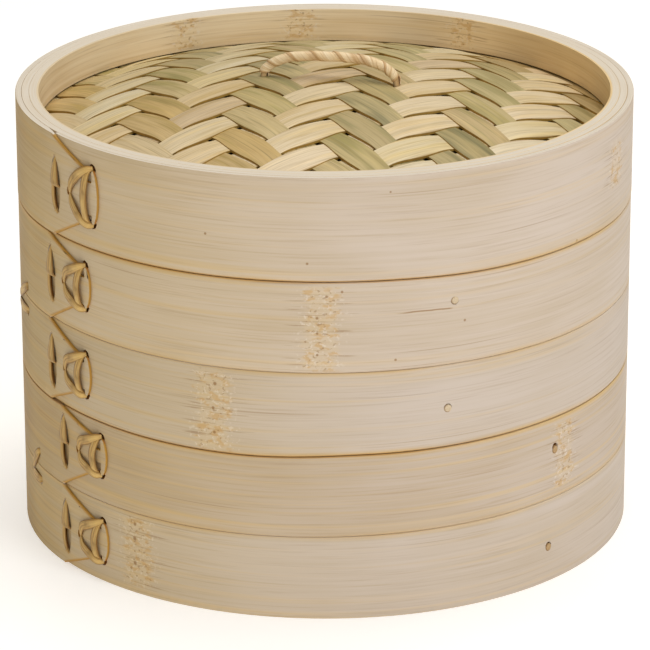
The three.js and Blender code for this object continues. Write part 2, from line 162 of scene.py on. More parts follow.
class Finish:
    """A material built from nodes, with helpers for bamboo."""

    def __init__(self, name):
        self.material = bpy.data.materials.new(name)
        self.material.use_nodes = True
        self.tree = self.material.node_tree
        self.surface = self.tree.nodes["Principled BSDF"]
        self.seed = float(sum(ord(letter) for letter in name) % 97)
        self.colour = None        # the finish so far, which paint adds to

    def node(self, kind, settings=None, inputs=None, output=0):
        made = self.tree.nodes.new(kind)
        for name, value in (settings or {}).items():
            setattr(made, name, value)
        for name, value in (inputs or {}).items():
            self.feed(made.inputs[name], value)
        return Field(self, made.outputs[output])

    def feed(self, socket, value):
        if isinstance(value, Field):
            self.tree.links.new(value.socket, socket)
        else:
            socket.default_value = value

    def attribute(self, name, output="Vector"):
        return self.node("ShaderNodeAttribute", {"attribute_name": name}, output=output)

    def parts(self, vector):
        split = self.node("ShaderNodeSeparateXYZ", None, {0: vector}).socket.node
        return [Field(self, out) for out in split.outputs]

    def noise(self, x, y, z=0.0, detail=2.0):
        where = self.node("ShaderNodeCombineXYZ", None, {0: x, 1: y, 2: z + self.seed})
        inputs = {"Vector": where, "Scale": 1.0, "Detail": detail, "Roughness": 0.55}
        return self.node("ShaderNodeTexNoise", None, inputs)

    def mix(self, share, first, second, kind="MIX"):
        settings = {"data_type": "RGBA", "blend_type": kind}
        inputs = {0: share, 6: first, 7: second}
        return self.node("ShaderNodeMix", settings, inputs, output=2)

    def paint(self, share, colour, kind="MIX"):
        """Lays a colour over the finish so far, as thick as its share."""
        self.colour = self.mix(share, self.colour, colour, kind)

    def tinted(self, tint):
        """The finish so far, multiplied by a tint."""
        return self.mix(1.0, self.colour, tint, "MULTIPLY")

    def bump(self, height, distance, strength=1.0):
        inputs = {"Height": height, "Distance": distance, "Strength": strength}
        self.feed(self.surface.inputs["Normal"], self.node("ShaderNodeBump", None, inputs))

    def set(self, **inputs):
        for name, value in inputs.items():
            self.feed(self.surface.inputs[name.replace("_", " ")], value)
        return self.material


# %% Floor
FLOOR_SIZE = 6.0
floor_mesh = bmesh.new()
bmesh.ops.create_grid(floor_mesh, x_segments=2, y_segments=2, size=FLOOR_SIZE)
floor_data = bpy.data.meshes.new("floor")
floor_mesh.to_mesh(floor_data)
floor_mesh.free()
floor = bpy.data.objects.new("floor", floor_data)
bpy.context.scene.collection.objects.link(floor)
floor_finish = Finish("pale_floor")
floor_data.materials.append(floor_finish.set(
    Base_Color=(0.86, 0.85, 0.83, 1), Roughness=0.9,
    Emission_Color=(1.0, 0.99, 0.975, 1), Emission_Strength=0.40,
))
print("floor", FLOOR_SIZE * 2, "m wide")

# %% [markdown]
# ## Reading the frame
# The frame says where each hoop is. Its lacing stitches have legs that go into the wall, so
# the holes of a band are found from those legs, and the pegs from the middle of their boxes.

# %% Places on the wall


def wall_angle(x, y):
    """Degrees round the wall from the front (-Y) towards the right (+X)."""
    return math.degrees(math.atan2(x, -y))


def wall_point(angle, radius, height):
    turn = math.radians(angle)
    return Vector((radius * math.sin(turn), -radius * math.cos(turn), height))


def hoop_size(node):
    """Inner radius, outer radius, bottom and top of a CAD hoop."""
    radii = [math.hypot(v.co.x, v.co.y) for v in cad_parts[node].data.vertices]
    low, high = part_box(node)
    return min(radii), max(radii), low.z, high.z


LEG_END_DEPTH = 3.2 * MM      # a stitch's legs end deeper in the wall than this
LEG_WIDTH = 4.5 * MM


def stitch_holes(node, radius):
    """Angle and height of each hole that a CAD stitch goes into, from left to right."""
    legs = []
    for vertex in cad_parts[node].data.vertices:
        x, y, z = vertex.co
        if math.hypot(x, y) > radius - LEG_END_DEPTH:
            continue
        spot = Vector((math.radians(wall_angle(x, y)) * radius, z))
        near = [leg for leg in legs if (leg[0] - spot).length < LEG_WIDTH]
        if near:
            near[0].append(spot)
        else:
            legs.append([spot])
    middles = [sum(leg, Vector((0, 0))) / len(leg) for leg in legs]
    return sorted((math.degrees(m.x / radius), m.y) for m in middles)


def peg_place(node):
    low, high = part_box(node)
    middle = (low + high) / 2
    return wall_angle(middle.x, middle.y), middle.z


print("lid lacing holes", stitch_holes("lid_fan_stitch", hoop_size("lid_band")[1]))

# %% [markdown]
# ## Bamboo for the walls
# Split bamboo shows hair-thin fibres along the strip, broader yellowish streaks, and here and
# there a node, a patch of short upright flecks where a leaf grew. The fibres are noise that is
# stretched thousands of times along the strip. A cut edge is paler and shows fibre ends, and
# the inside of a hole is painted dark brown as the shade there. The stored flat position
# (x along, y depth, z up) steers it all, except the painted shade (with some yellower tone)
# towards the left and the painted warm shade on the right of the stack, which follow the
# object's own x.

# %% Wall finish
STACK_RADIUS = 101.5 * MM
CUT_EDGE = srgb(228, 217, 200)
TONGUE_EDGE = srgb(190, 144, 58)
TONGUE_GRAIN = srgb(130, 90, 34)
# Painted shade inside the holes, in dark brown.
HOLE_SHADE_BROWN = srgb(168, 112, 48)
FLECK_BROWN = srgb(140, 100, 52)
STREAK_YELLOW = srgb(211, 181, 124)
FRESH = (0.985, 0.99, 1.02, 1)
YELLOW_TONE_AND_SHADE = (1.0, 0.95, 0.76, 1)    # painted warm shade on the left, partly a yellower tone of the bamboo
# Painted shade towards the left of the stack, away from the key lamp, deepest at its far edge.
SHADY = (0.83, 0.70, 0.34, 1)
FAR_LEFT_SHADE = (0.88, 0.84, 0.80, 1)
# Painted warm shade on the right of the stack, for the inside of the wall there.
WARM_SHADE = (1.08, 0.98, 0.76, 1)
KNOT_STROKE = srgb(196, 154, 90)
KNOT_WHITE = srgb(226, 216, 204)
SEAM_BROWN = srgb(178, 132, 62)
SEAM_GOLD = srgb(204, 168, 102)
KNOT_PALE = srgb(224, 196, 146)


def wall_finish(name, pale, deep, thickness, knots=(), spots=(), splits=(), tongue=None,
                streaks=0.35, seams=None, heights=None):
    """Bamboo with fibres, streaks, nodes (knots) and small round spots.

    A knot is (x, half width, low, high) and a spot is (x, height, radius), all on the flat
    strip, a split is (start, end, height). The tongue holds the two ends (x, height) of each of
    its slanting cuts, which are golden. Seams are (height, browned or not), and heights are
    the strip's lower and upper edge, near which it is yellower. A strip with heights also
    gets painted shade, darker and yellower towards the left of the stack, partly a yellower
    tone of the bamboo there; one without gets painted warm shade on the right, for the inside
    of the wall there.
    """
    f = Finish(name)
    along, depth, up = f.parts(f.attribute("lay"))
    across = up - depth
    fibre = f.noise(along * 30.0, across * 1500.0, detail=3.0)
    strand = f.noise(along * 10.0, across * 700.0, 3.0)
    streak = f.noise(along * 4.5, across * 400.0, 7.0)
    cloud = f.noise(along * 14.0, across * 36.0, 11.0)
    f.colour = f.mix((strand * 0.45 + cloud * 0.7).rise(0.38, 0.90), pale, deep)
    left = f.parts(f.node("ShaderNodeTexCoord", None, None, output=3))[0] * (-1 / STACK_RADIUS)
    # This first share of yellow grows towards the left of the stack: partly the bamboo's tone, partly
    # painted warm shade.
    yellower = left.rise(-0.5, 0.7, 0.05)
    if heights:
        low, high = heights
        away = abs(up - (low + high) / 2) / ((high - low) / 2)
        yellower = yellower + away.rise(0.45, 1.0, 0.06)
    f.paint((streak + yellower).rise(0.52, 0.78, streaks), STREAK_YELLOW)
    f.paint(fibre.rise(0.50, 0.30, 0.34), f.mix(0.45, deep, FLECK_BROWN))
    line = f.noise(along * 11.0, across * 1250.0, 13.0, detail=1.0)
    f.paint(line.rise(0.66, 0.76, 0.34), FLECK_BROWN)
    fleck = f.noise(along * 620.0, across * 900.0, 17.0)
    blotch = f.noise(along * 240.0, across * 420.0, 25.0)
    white = f.noise(along * 700.0, across * 760.0, 19.0)
    scratch = f.noise(along * 45.0, across * 1500.0, 21.0, detail=1.0)
    ragged = f.noise(along * 80.0, across * 700.0, 23.0) - 0.5
    for x, half, low, high in knots:
        side = abs((along - x) / half) + ragged * 2.2
        ends = (up - low).rise(-1.5 * MM, 1.0 * MM) * (high - up).rise(-1.0 * MM, 1.5 * MM)
        patch = (1.25 - side).rise(0.0, 0.5) * ends
        around = (2.6 - side).rise(0.0, 1.2) * ends
        f.paint(around * scratch.rise(0.60, 0.68, 0.45), FLECK_BROWN)
        f.paint(patch * 0.18, KNOT_PALE)
        f.paint(patch * blotch.rise(0.50, 0.62, 0.55), KNOT_STROKE)
        near = (2.0 - side).rise(0.0, 1.0) * ends
        f.paint(near * white.rise(0.56, 0.66, 0.42), KNOT_WHITE)
        f.paint(patch * fleck.rise(0.59, 0.67, 0.5), FLECK_BROWN)
    for start, end, height in splits:
        drift = f.noise(along * 90.0, 5.0, 35.0) * (1.2 * MM) - 0.6 * MM
        thin = abs(up - height - drift).rise(0.34 * MM, 0.10 * MM)
        run = along.rise(start, start + 6 * MM) * along.rise(end, end - 2 * MM)
        f.paint(thin * run * 0.7, FLECK_BROWN)
    if tongue:
        for corner, shoulder in tongue:
            run = Vector(shoulder) - Vector(corner)
            slope = Vector((-run.y, run.x)).normalized()
            off = abs((along - corner[0]) * slope.x + (up - corner[1]) * slope.y)
            reach = along.rise(corner[0] - MM, corner[0])
            reach = reach * along.rise(shoulder[0], shoulder[0] - MM)
            f.paint(off.rise(1.15 * MM, 0.35 * MM, 0.9) * reach, TONGUE_EDGE)
    for x, height, radius in spots:
        away = (along - x).hypot(up - height) / radius
        f.paint(away.rise(1.15, 0.45, 0.75), FLECK_BROWN)
    # Painted shade: a strip with heights is made darker and yellower towards the left of the stack,
    # partly a yellower tone of the bamboo there.
    if heights:
        left_tone_and_shade = f.mix(left.rise(-0.3, 0.75), FRESH, YELLOW_TONE_AND_SHADE)
        left_tone_and_shade = f.mix(left.rise(0.72, 1.0), left_tone_and_shade, SHADY)
        left_tone_and_shade = f.mix(left.rise(0.935, 0.985), left_tone_and_shade, f.mix(1.0, SHADY, FAR_LEFT_SHADE, "MULTIPLY"))
        f.paint(1.0, left_tone_and_shade, "MULTIPLY")
    else:
        # Painted warm shade: warmer towards the right of the stack.
        f.paint(left.rise(-0.15, -0.85), f.tinted(WARM_SHADE))
    cut = depth.rise(0.08 * MM, 0.16 * MM) * (thickness - depth).rise(0.02 * MM, 0.1 * MM)
    rings = f.noise(along * 30.0, depth * 4200.0, 31.0)
    edge = f.mix(rings.rise(0.40, 0.66, 0.35), CUT_EDGE, deep)
    if tongue:
        root = tongue[0][0][0]
        golden = f.mix(rings.rise(0.35, 0.65, 0.5), TONGUE_EDGE, TONGUE_GRAIN)
        edge = f.mix(along.rise(root, root + 1 * MM), edge, golden)
    f.paint(cut, edge)
    if seams:
        uneven = f.noise(along * 12.0, 2.0, 29.0)
        for height, brown in seams:
            off = abs(up - height)
            halo = off.rise(1.9 * MM, 0.2 * MM, 0.7 if brown else 0.5)
            f.paint(halo * uneven.rise(0.38, 0.60), SEAM_GOLD)
            line = off.rise(0.50 * MM, 0.22 * MM, 0.8 if brown else 0.2)
            share = line * uneven.rise(0.15, 0.45) * left.rise(-1.1, -0.1)
            f.paint(share, SEAM_BROWN)
    # Painted shade: the inside of each hole is dark brown.
    shade = f.attribute("shade", "Fac")
    f.paint(shade.rise(0.05, 0.6), HOLE_SHADE_BROWN)
    f.bump(fibre * 0.6 + strand * 0.4, 0.12 * MM, 0.35)
    roughness = 0.50 + strand * 0.16
    return f.set(Base_Color=f.colour, Roughness=roughness, Specular_IOR_Level=0.35)


PALE = srgb(206, 190, 173)
DEEP = srgb(193, 174, 147)
LOW_PALE = srgb(201, 186, 170)
LOW_DEEP = srgb(189, 171, 146)
print("wall colours", PALE[:3], DEEP[:3])

# %% [markdown]
# ## Strips that are shaped flat
# A maker cuts and drills a strip while it lies flat, then steams it and bends it. Doing the
# same here keeps every cut simple: a grid lies in the XZ plane, with x along the strip and z
# up, and bisecting planes trim it. A hole is four or more bisecting planes round a spot, after
# which the faces inside are deleted.

# %% Flat strip and its cuts


def flat_strip(start, end, bottom, top, columns, rows):
    bm = bmesh.new()
    bmesh.ops.create_grid(bm, x_segments=columns, y_segments=rows, size=0.5)
    middle = Vector(((start + end) / 2, 0, (bottom + top) / 2))
    size = Vector((end - start, top - bottom, 1))
    place = Matrix.LocRotScale(middle, Euler((math.pi / 2, 0, 0)), size)
    bmesh.ops.transform(bm, matrix=place, verts=bm.verts[:])
    return bm


def slice_faces(bm, faces, point, normal, clear=False):
    """Cuts some faces with a plane; clear removes the side that the normal points to."""
    edges = dict.fromkeys(e for face in faces for e in face.edges)
    verts = dict.fromkeys(v for face in faces for v in face.verts)
    bmesh.ops.bisect_plane(
        bm, geom=[*faces, *edges, *verts], dist=1e-7,
        plane_co=point, plane_no=normal, clear_outer=clear,
    )


def cut_hole(bm, outline):
    """Cuts a convex hole; outline holds (x, z) corners in anticlockwise order."""
    corners = [Vector((x, 0, z)) for x, z in outline]
    middle = sum(corners, Vector()) / len(corners)
    reach = max((corner - middle).length for corner in corners) + 5 * MM
    sides = []
    for first, second in zip(corners, corners[1:] + corners[:1]):
        run = second - first
        sides.append((first, Vector((run.z, 0, -run.x)).normalized()))
    for point, normal in sides:
        near = [f for f in bm.faces if (f.calc_center_bounds() - middle).length < reach]
        slice_faces(bm, near, point, normal)
    inside = [
        face for face in bm.faces
        if all((face.calc_center_median() - point).dot(normal) < 0 for point, normal in sides)
    ]
    bmesh.ops.delete(bm, geom=inside, context="FACES")


# %% Outlines of holes


def lens(x, z, half_width, half_height, points=12, lean=0.0, power=0.8):
    """Pointed upright outline round (x, z); lean shifts its top to the right."""
    corners = []
    for i in range(points):
        turn = 2 * math.pi * i / points
        c, s = math.cos(turn), math.sin(turn)
        width = half_width * math.copysign(abs(c) ** (1 / power), c)
        corners.append((x + width + lean * s, z + half_height * s))
    return corners


# %% [markdown]
# ## Thickness and bending
# Extruding the whole sheet gives it thickness and closes its sides at once. The long edges are
# then eased with a small bevel, the flat position is stored as the attribute lay, and each
# vertex is moved to its place on the cylinder. The start of a lapped strip lies under its own
# end, so its radius there is smaller, and the tongue on top is thinner.

# %% From flat to round
EASE = 0.22 * MM
HOOP_EASE = 0.12 * MM


def thicken(bm, thickness):
    made = bmesh.ops.extrude_face_region(bm, geom=bm.faces[:], use_keep_orig=True)
    moved = [item for item in made["geom"] if isinstance(item, bmesh.types.BMVert)]
    bmesh.ops.translate(bm, vec=(0, thickness, 0), verts=moved)
    bmesh.ops.recalc_face_normals(bm, faces=bm.faces[:])


def ease_edges(bm, offset, chosen):
    edges = [
        edge for edge in bm.edges
        if edge.is_manifold and edge.calc_face_angle(0) > 1.0 and chosen(edge)
    ]
    bmesh.ops.bevel(
        bm, geom=edges, offset=offset, offset_type="OFFSET", segments=2, profile=0.5,
        affect="EDGES", clamp_overlap=False, material=-1,
    )


def store_flat(bm):
    """Keeps the flat place of every vertex for the grain."""
    lay = bm.verts.layers.float_vector.get("lay") or bm.verts.layers.float_vector.new("lay")
    for vertex in bm.verts:
        vertex[lay] = vertex.co
    return lay


def shade_inside(bm, holes, deeper):
    """Marks what lies inside a hole, for the painted shade there in dark brown. holes: (x, z, reach).
    """
    shade = bm.verts.layers.float.get("shade") or bm.verts.layers.float.new("shade")
    for vertex in bm.verts:
        x, depth, z = vertex.co
        if depth > deeper and any(math.hypot(x - a, z - b) < reach for a, b, reach in holes):
            vertex[shade] = 1.0


def finished(name, bm, material, body, slot, *nodes, sharp=20.0):
    """Turns a bmesh into a piece that rides on a body and stands for CAD nodes."""
    bmesh.ops.remove_doubles(bm, verts=bm.verts[:], dist=1e-6)
    bmesh.ops.recalc_face_normals(bm, faces=bm.faces[:])
    data = bpy.data.meshes.new(name)
    bm.to_mesh(data)
    bm.free()
    data.shade_smooth()
    data.set_sharp_from_angle(angle=math.radians(sharp))
    data.materials.append(material)
    piece = bpy.data.objects.new(name, data)
    bpy.context.scene.collection.objects.link(piece)
    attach(piece, body)
    if nodes:
        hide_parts(*nodes)
    print(name, len(data.polygons), "faces")


# %% [markdown]
# ## Seams that wander
# Hoops made by hand never meet in a perfect circle. Each seam gets a gentle rise and fall
# round the wall; the hoops above and below share it, so the joint stays closed.

# %% Seam heights


def seam_lift(table, angle):
    """Height in millimetres read from (angle, lift) pairs, joined smoothly round the wall."""
    angle = (angle + 180) % 360 - 180
    points = sorted(table)
    points = [(points[-1][0] - 360, points[-1][1]), *points, (points[0][0] + 360, points[0][1])]
    for (a, low), (b, high) in zip(points, points[1:]):
        if a <= angle <= b:
            share = (angle - a) / (b - a)
            return low + (high - low) * share * share * (3 - 2 * share)
    return 0.0


LEVEL = [(0, 0.0)]
SEAM_LID = [(-60, 0.2), (10, 0.2), (30, -0.3), (75, -0.1), (150, 0.1)]
SEAM_UPPER = [(-60, 0.2), (-15, -0.2), (40, 0.1), (120, 0.0)]
SEAM_TIERS = [(-60, 0.0), (-15, -0.8), (8, 0.3), (50, 1.0), (78, 1.4), (150, 0.3)]
SEAM_LOWER = [(-60, 0.1), (-20, 0.0), (30, 0.9), (75, 1.5), (150, 0.3)]

# %% [markdown]
# ## The lapped bands
# The outside of each hoop is one long strip. Its end is cut to a tongue: two slanting cuts
# from full height down to a narrow neck, then a rounded tip that laps over the strip's own
# start and is laced down. The slanting cuts are what draws the zigzag down the left side.

# %% Tongue
LAP_STEP = 0.9 * MM
LAP_BLEND = 60.0              # degrees over which the strip regains its full radius
TONGUE_ROOT = 12.0            # degrees from the holes back to where the tongue starts
TONGUE_SHOULDER = 2.2
TONGUE_BULGE = 1.5
TONGUE_MARGIN = 0.2 * MM
UNDER_GAP = 0.05 * MM


def cut_tongue(bm, radius, lap, low, high, bottom, top):
    def x_at(angle):
        return math.radians(angle) * radius
    root, shoulder = x_at(lap - TONGUE_ROOT), x_at(lap - TONGUE_SHOULDER)
    hole, tip = x_at(lap), x_at(lap + TONGUE_BULGE)
    middle, half = (low + high) / 2, (high - low) / 2
    slice_faces(bm, bm.faces[:], Vector((shoulder, 0, 0)), Vector((1, 0, 0)))
    for side, edge, neck in ((1, top, high), (-1, bottom, low)):
        run = Vector((shoulder - root, 0, neck - edge))
        slope = Vector((-run.z, 0, run.x)) * side
        body = [f for f in bm.faces if root - MM < f.calc_center_median().x < shoulder]
        slice_faces(bm, body, Vector((shoulder, 0, neck)), slope, clear=True)
        end = [f for f in bm.faces if f.calc_center_median().x > shoulder]
        slice_faces(bm, end, Vector((0, 0, neck)), Vector((0, 0, side)), clear=True)
    steps = 8
    arc = []
    for i in range(steps + 1):
        turn = math.pi * (i / steps - 0.5)
        arc.append(Vector((hole + (tip - hole) * math.cos(turn), 0, middle + half * math.sin(turn))))
    for first, second in zip(arc, arc[1:]):
        run = second - first
        end = [f for f in bm.faces if f.calc_center_median().x > shoulder]
        slice_faces(bm, end, first, Vector((run.z, 0, -run.x)), clear=True)
    return ((root, top), (shoulder, high)), ((root, bottom), (shoulder, low))


def bend_lapped(bm, radius, thickness, lap, root, bottom, top, lifts):
    """Moves a flat lapped strip round the wall."""
    thin = (LAP_STEP - UNDER_GAP) / thickness
    ramp = math.radians(2.5) * radius
    for vertex in bm.verts:
        x, depth, z = vertex.co
        angle = math.degrees(x / radius)
        past = angle + 360 - lap
        step = 0.0
        if past < LAP_BLEND:
            step = LAP_STEP * (1 - max(0.0, past) / LAP_BLEND)
        share = min(1.0, max(0.0, (x - root + ramp) / ramp))
        if step:
            inwards = depth * (thickness - step) / thickness
        else:
            inwards = depth * (1 - share + thin * share)
        height = (z - bottom) / (top - bottom)
        lift = (1 - height) * seam_lift(lifts[0], angle) + height * seam_lift(lifts[1], angle)
        vertex.co = wall_point(angle, radius - step - inwards, z + lift * MM)


# %% Bands
BAND_THICKNESS = 2.0 * MM
DEGREES_PER_COLUMN = 2.2
HAIRLINE = 0.12 * MM          # what is left open between two hoops of one tier
OPEN_SEAM = 0.30 * MM         # and where one piece stands on another
SPINDLE_HALF = (2.7 * MM, 9.4 * MM)
LID_TRIM = 0.4 * MM           # smaller than its frame, almost flush with the tiers
SPINDLE_SHIFT = 0.3 * MM      # the slit lies right of the middle of its holes
HOLE_SHIFT = 0.35             # degrees that the tongue's holes lie left of the lap


def lapped_band(name, body, tones, lifts, knots=(), spots=(), splits=(), pegs=(), side=(),
                flush=False, streaks=0.38, browned=(False, False), trim=0.0):
    """Outer strip of a hoop; knots and spots are given by angle, height and size."""
    _, radius, bottom, top = hoop_size(f"{name}_band")
    radius -= trim
    point, low, high = sorted(stitch_holes(f"{name}_fan_stitch", radius))
    if low[1] > high[1]:
        low, high = high, low
    lap = (low[0] + high[0]) / 2
    spindle = stitch_holes(f"{name}_spindle_stitch", radius)
    start = math.radians(lap - TONGUE_ROOT - 360) * radius
    end = math.radians(lap + TONGUE_BULGE) * radius + MM
    low_gap, high_gap = ((OPEN_SEAM if brown else HAIRLINE) / 2 for brown in browned)
    low_edge = bottom + low_gap
    high_edge = top if flush else top + 0.3 * MM - high_gap
    columns = round((360 + TONGUE_ROOT + TONGUE_BULGE) / DEGREES_PER_COLUMN)
    bm = flat_strip(start, end, low_edge, high_edge, columns, 6)
    tongue = cut_tongue(bm, radius, lap, low[1] - TONGUE_MARGIN, high[1] + TONGUE_MARGIN,
                        low_edge, high_edge)
    root = tongue[0][0][0]

    def x_at(angle):
        """Flat x on the part of the strip that shows at this angle."""
        return math.radians(angle if angle < lap + TONGUE_BULGE else angle - 360) * radius
    full_turn = math.radians(360) * radius
    holes = []

    def drill(x, height, half_width, half_height, reach, corners=8, **outline):
        """Cuts a hole and notes how far round it the wall gets painted shade and is left unbevelled.
        """
        cut_hole(bm, lens(x, height, half_width, half_height, corners, **outline))
        holes.append((x, height, reach))

    for (angle, height), up in ((low, -1), (high, 1)):
        x = x_at(angle - HOLE_SHIFT)
        drill(x, height, 1.0 * MM, 1.3 * MM, 2.4 * MM, lean=0.3 * MM * up)
        drill(x - full_turn, height, 1.9 * MM, 1.9 * MM, 2.6 * MM)
    drill(x_at(point[0]), point[1], 0.7 * MM, 1.5 * MM, 2.2 * MM)
    x = x_at(spindle[0][0]) + SPINDLE_SHIFT
    drill(x, (spindle[0][1] + spindle[1][1]) / 2, *SPINDLE_HALF, 9.0 * MM, 14, lean=-0.6 * MM)
    for angle, height in pegs:
        drill(x_at(angle), height, 1.36 * MM, 1.36 * MM, 2.0 * MM, 16, power=1.0)
    for angle, height in side:
        if low_edge < height < high_edge:
            drill(x_at(angle), height, 0.9 * MM, 1.9 * MM, 2.2 * MM)
    thicken(bm, BAND_THICKNESS)

    def on_outline(edge):
        mid = (edge.verts[0].co + edge.verts[1].co) / 2
        return all(math.hypot(mid.x - a, mid.z - b) > reach for a, b, reach in holes)

    def outer_tongue(edge):
        mid = (edge.verts[0].co + edge.verts[1].co) / 2
        return mid.x > root and mid.y < 0.5 * MM and on_outline(edge)

    def elsewhere(edge):
        return not outer_tongue(edge) and on_outline(edge)
    ease_edges(bm, EASE, elsewhere)
    ease_edges(bm, 0.55 * MM, outer_tongue)
    # Painted shade: the walls inside the holes are marked dark brown.
    shade_inside(bm, holes, 0.3 * MM)
    store_flat(bm)
    bend_lapped(bm, radius, BAND_THICKNESS, lap, root, bottom, top, lifts)
    flat_knots = [(x_at(angle), half * MM, low, high) for angle, half, low, high in knots]
    flat_spots = [(x_at(angle), height, size * MM) for angle, height, size in spots]
    seams = [(low_edge, browned[0])] * (bottom > MM) + [(high_edge, browned[1])] * (not flush)
    flat_splits = [(x_at(start), x_at(end), height) for start, end, height in splits]
    finish = wall_finish(f"{name}_bamboo", *tones, BAND_THICKNESS, flat_knots, flat_spots,
                         flat_splits, tongue, streaks, seams, (bottom, top))
    finished(f"{name}_lapped_band", bm, finish, body, "band", f"{name}_band")
    return {"lap": lap, "low": low, "high": high, "point": point,
            "spindle": spindle, "radius": radius}


peg_places = {}
for tier in ("lower_tier", "upper_tier"):
    for place in ("bottom", "top"):
        peg_places[f"{tier}_{place}"] = peg_place(f"{tier}_{place}_peg")
tier_radius = hoop_size("lower_tier_top_band")[1]
side_holes = {
    tier: stitch_holes(f"{tier}_side_stitch", tier_radius) for tier in ("lower_tier", "upper_tier")
}
print("pegs", peg_places)

bands = {
    "lid": lapped_band(
        "lid", "lid", (PALE, DEEP), (SEAM_LID, LEVEL), flush=True, browned=(True, False),
        trim=LID_TRIM,
        knots=[(67.5, 5.0, 0.125, 0.140)],
        spots=[(-3.1, 0.1192, 0.5), (-21.5, 0.1268, 0.5), (11.5, 0.142, 0.4), (52, 0.114, 0.6)],
    ),
    "upper_tier_top": lapped_band(
        "upper_tier_top", "upper_tier", (PALE, DEEP), (SEAM_UPPER, SEAM_LID), browned=(False, True),
        knots=[(-0.7, 5.0, 0.0845, 0.1115)],
        spots=[(25.5, 0.0975, 0.5), (12.5, 0.087, 0.5), (-1.4, 0.1015, 0.55), (3, 0.110, 0.5),
               (0.3, 0.1085, 0.5), (-1.4, 0.0965, 0.5), (-1.4, 0.0895, 0.5)],
        splits=[(12.0, 23.5, 0.1022)],
        pegs=[peg_places["upper_tier_top"]], side=side_holes["upper_tier"],
    ),
    "upper_tier_bottom": lapped_band(
        "upper_tier_bottom", "upper_tier", (LOW_PALE, LOW_DEEP), (SEAM_TIERS, SEAM_UPPER),
        browned=(True, False),
        knots=[(-20.3, 5.2, 0.0565, 0.0825)],
        spots=[(-20, 0.078, 0.7), (-20.4, 0.070, 0.6), (-20.2, 0.062, 0.6)],
        pegs=[peg_places["upper_tier_bottom"]], side=side_holes["upper_tier"],
    ),
    "lower_tier_top": lapped_band(
        "lower_tier_top", "lower_tier", (srgb(196, 179, 160), srgb(184, 162, 132)),
        (SEAM_LOWER, SEAM_TIERS), knots=[(49.5, 4.2, 0.031, 0.053)], browned=(False, True),
        pegs=[peg_places["lower_tier_top"]], side=side_holes["lower_tier"], streaks=0.48,
    ),
    "lower_tier_bottom": lapped_band(
        "lower_tier_bottom", "lower_tier", (LOW_PALE, LOW_DEEP), (LEVEL, SEAM_LOWER),
        knots=[(-37, 5.2, 0.003, 0.0265)],
        spots=[(-37.5, 0.019, 0.8), (-37.5, 0.0105, 0.8), (-37.4, 0.024, 0.7)],
        pegs=[peg_places["lower_tier_bottom"]], side=side_holes["lower_tier"],
    ),
}

# %% [markdown]
# ## Inner hoops
# Behind each band lies a backing hoop, then an inner wall whose top stands up as a lip for the
# next piece. The lid has two more hoops that clamp the woven panel. They are plain strips with
# butted ends, so they are made like the bands but without a tongue, and drilled where the
# lacing and the pegs pass.

# %% Plain hoops
BACKING_JOINT = -100          # degrees where each hoop's ends meet
WALL_JOINT = -120
RIM_JOINT = -28
BAR_REACH = 0.085             # metres from the middle to where a cross bar enters its notch


def plain_hoop(node, body, slot, material, joint, holes=(), notches=(),
               thickness=None, outer=None):
    """Bent strip with butted ends at the joint angle. holes: (angle, height, w, h)."""
    inner, cad_outer, bottom, top = hoop_size(node)
    outer = outer or cad_outer
    thickness = thickness or outer - inner
    start = math.radians(joint - 360) * outer
    end = math.radians(joint) * outer - 0.1 * MM
    bm = flat_strip(start, end, bottom, top, round(360 / DEGREES_PER_COLUMN), 5)

    def x_at(angle):
        return math.radians(angle if angle < joint else angle - 360) * outer
    zones = []
    for angle, height, half_width, half_height in holes:
        cut_hole(bm, lens(x_at(angle), height, half_width, half_height, 10, power=0.95))
        zones.append((x_at(angle), height, max(half_width, half_height) + 3 * MM))
    for low, high, below in notches:
        left, right = x_at(low), x_at(high)
        cut_hole(bm, [(left, below), (right, below), (right, top + MM), (left, top + MM)])
    thicken(bm, thickness)

    def on_rim(edge):
        first, second = (vertex.co.z for vertex in edge.verts)
        return abs(first - second) < 1e-6 and (first > top - 1e-5 or first < bottom + 1e-5)
    ease_edges(bm, HOOP_EASE, on_rim)
    # Painted shade: near each hole both faces are marked dark brown, so the hole looks deep.
    shade_inside(bm, zones, -1)
    store_flat(bm)
    for vertex in bm.verts:
        x, depth, z = vertex.co
        vertex.co = wall_point(math.degrees(x / outer), outer - depth, z)
    finished(f"{node}_strip", bm, material, body, slot, node)


def drilled(parts):
    """Holes through a backing hoop behind some bands."""
    made = []
    for name in parts:
        band = bands[name]
        for angle, height in (band["low"], band["high"]):
            made.append((angle - HOLE_SHIFT, height, 2.1 * MM, 2.1 * MM))
        made.append((band["point"][0], band["point"][1], 1.3 * MM, 2.0 * MM))
        low, high = band["spindle"]
        slit = low[0] + math.degrees(SPINDLE_SHIFT / band["radius"])
        made.append((slit, (low[1] + high[1]) / 2, 2.9 * MM, 8.6 * MM))
    return made


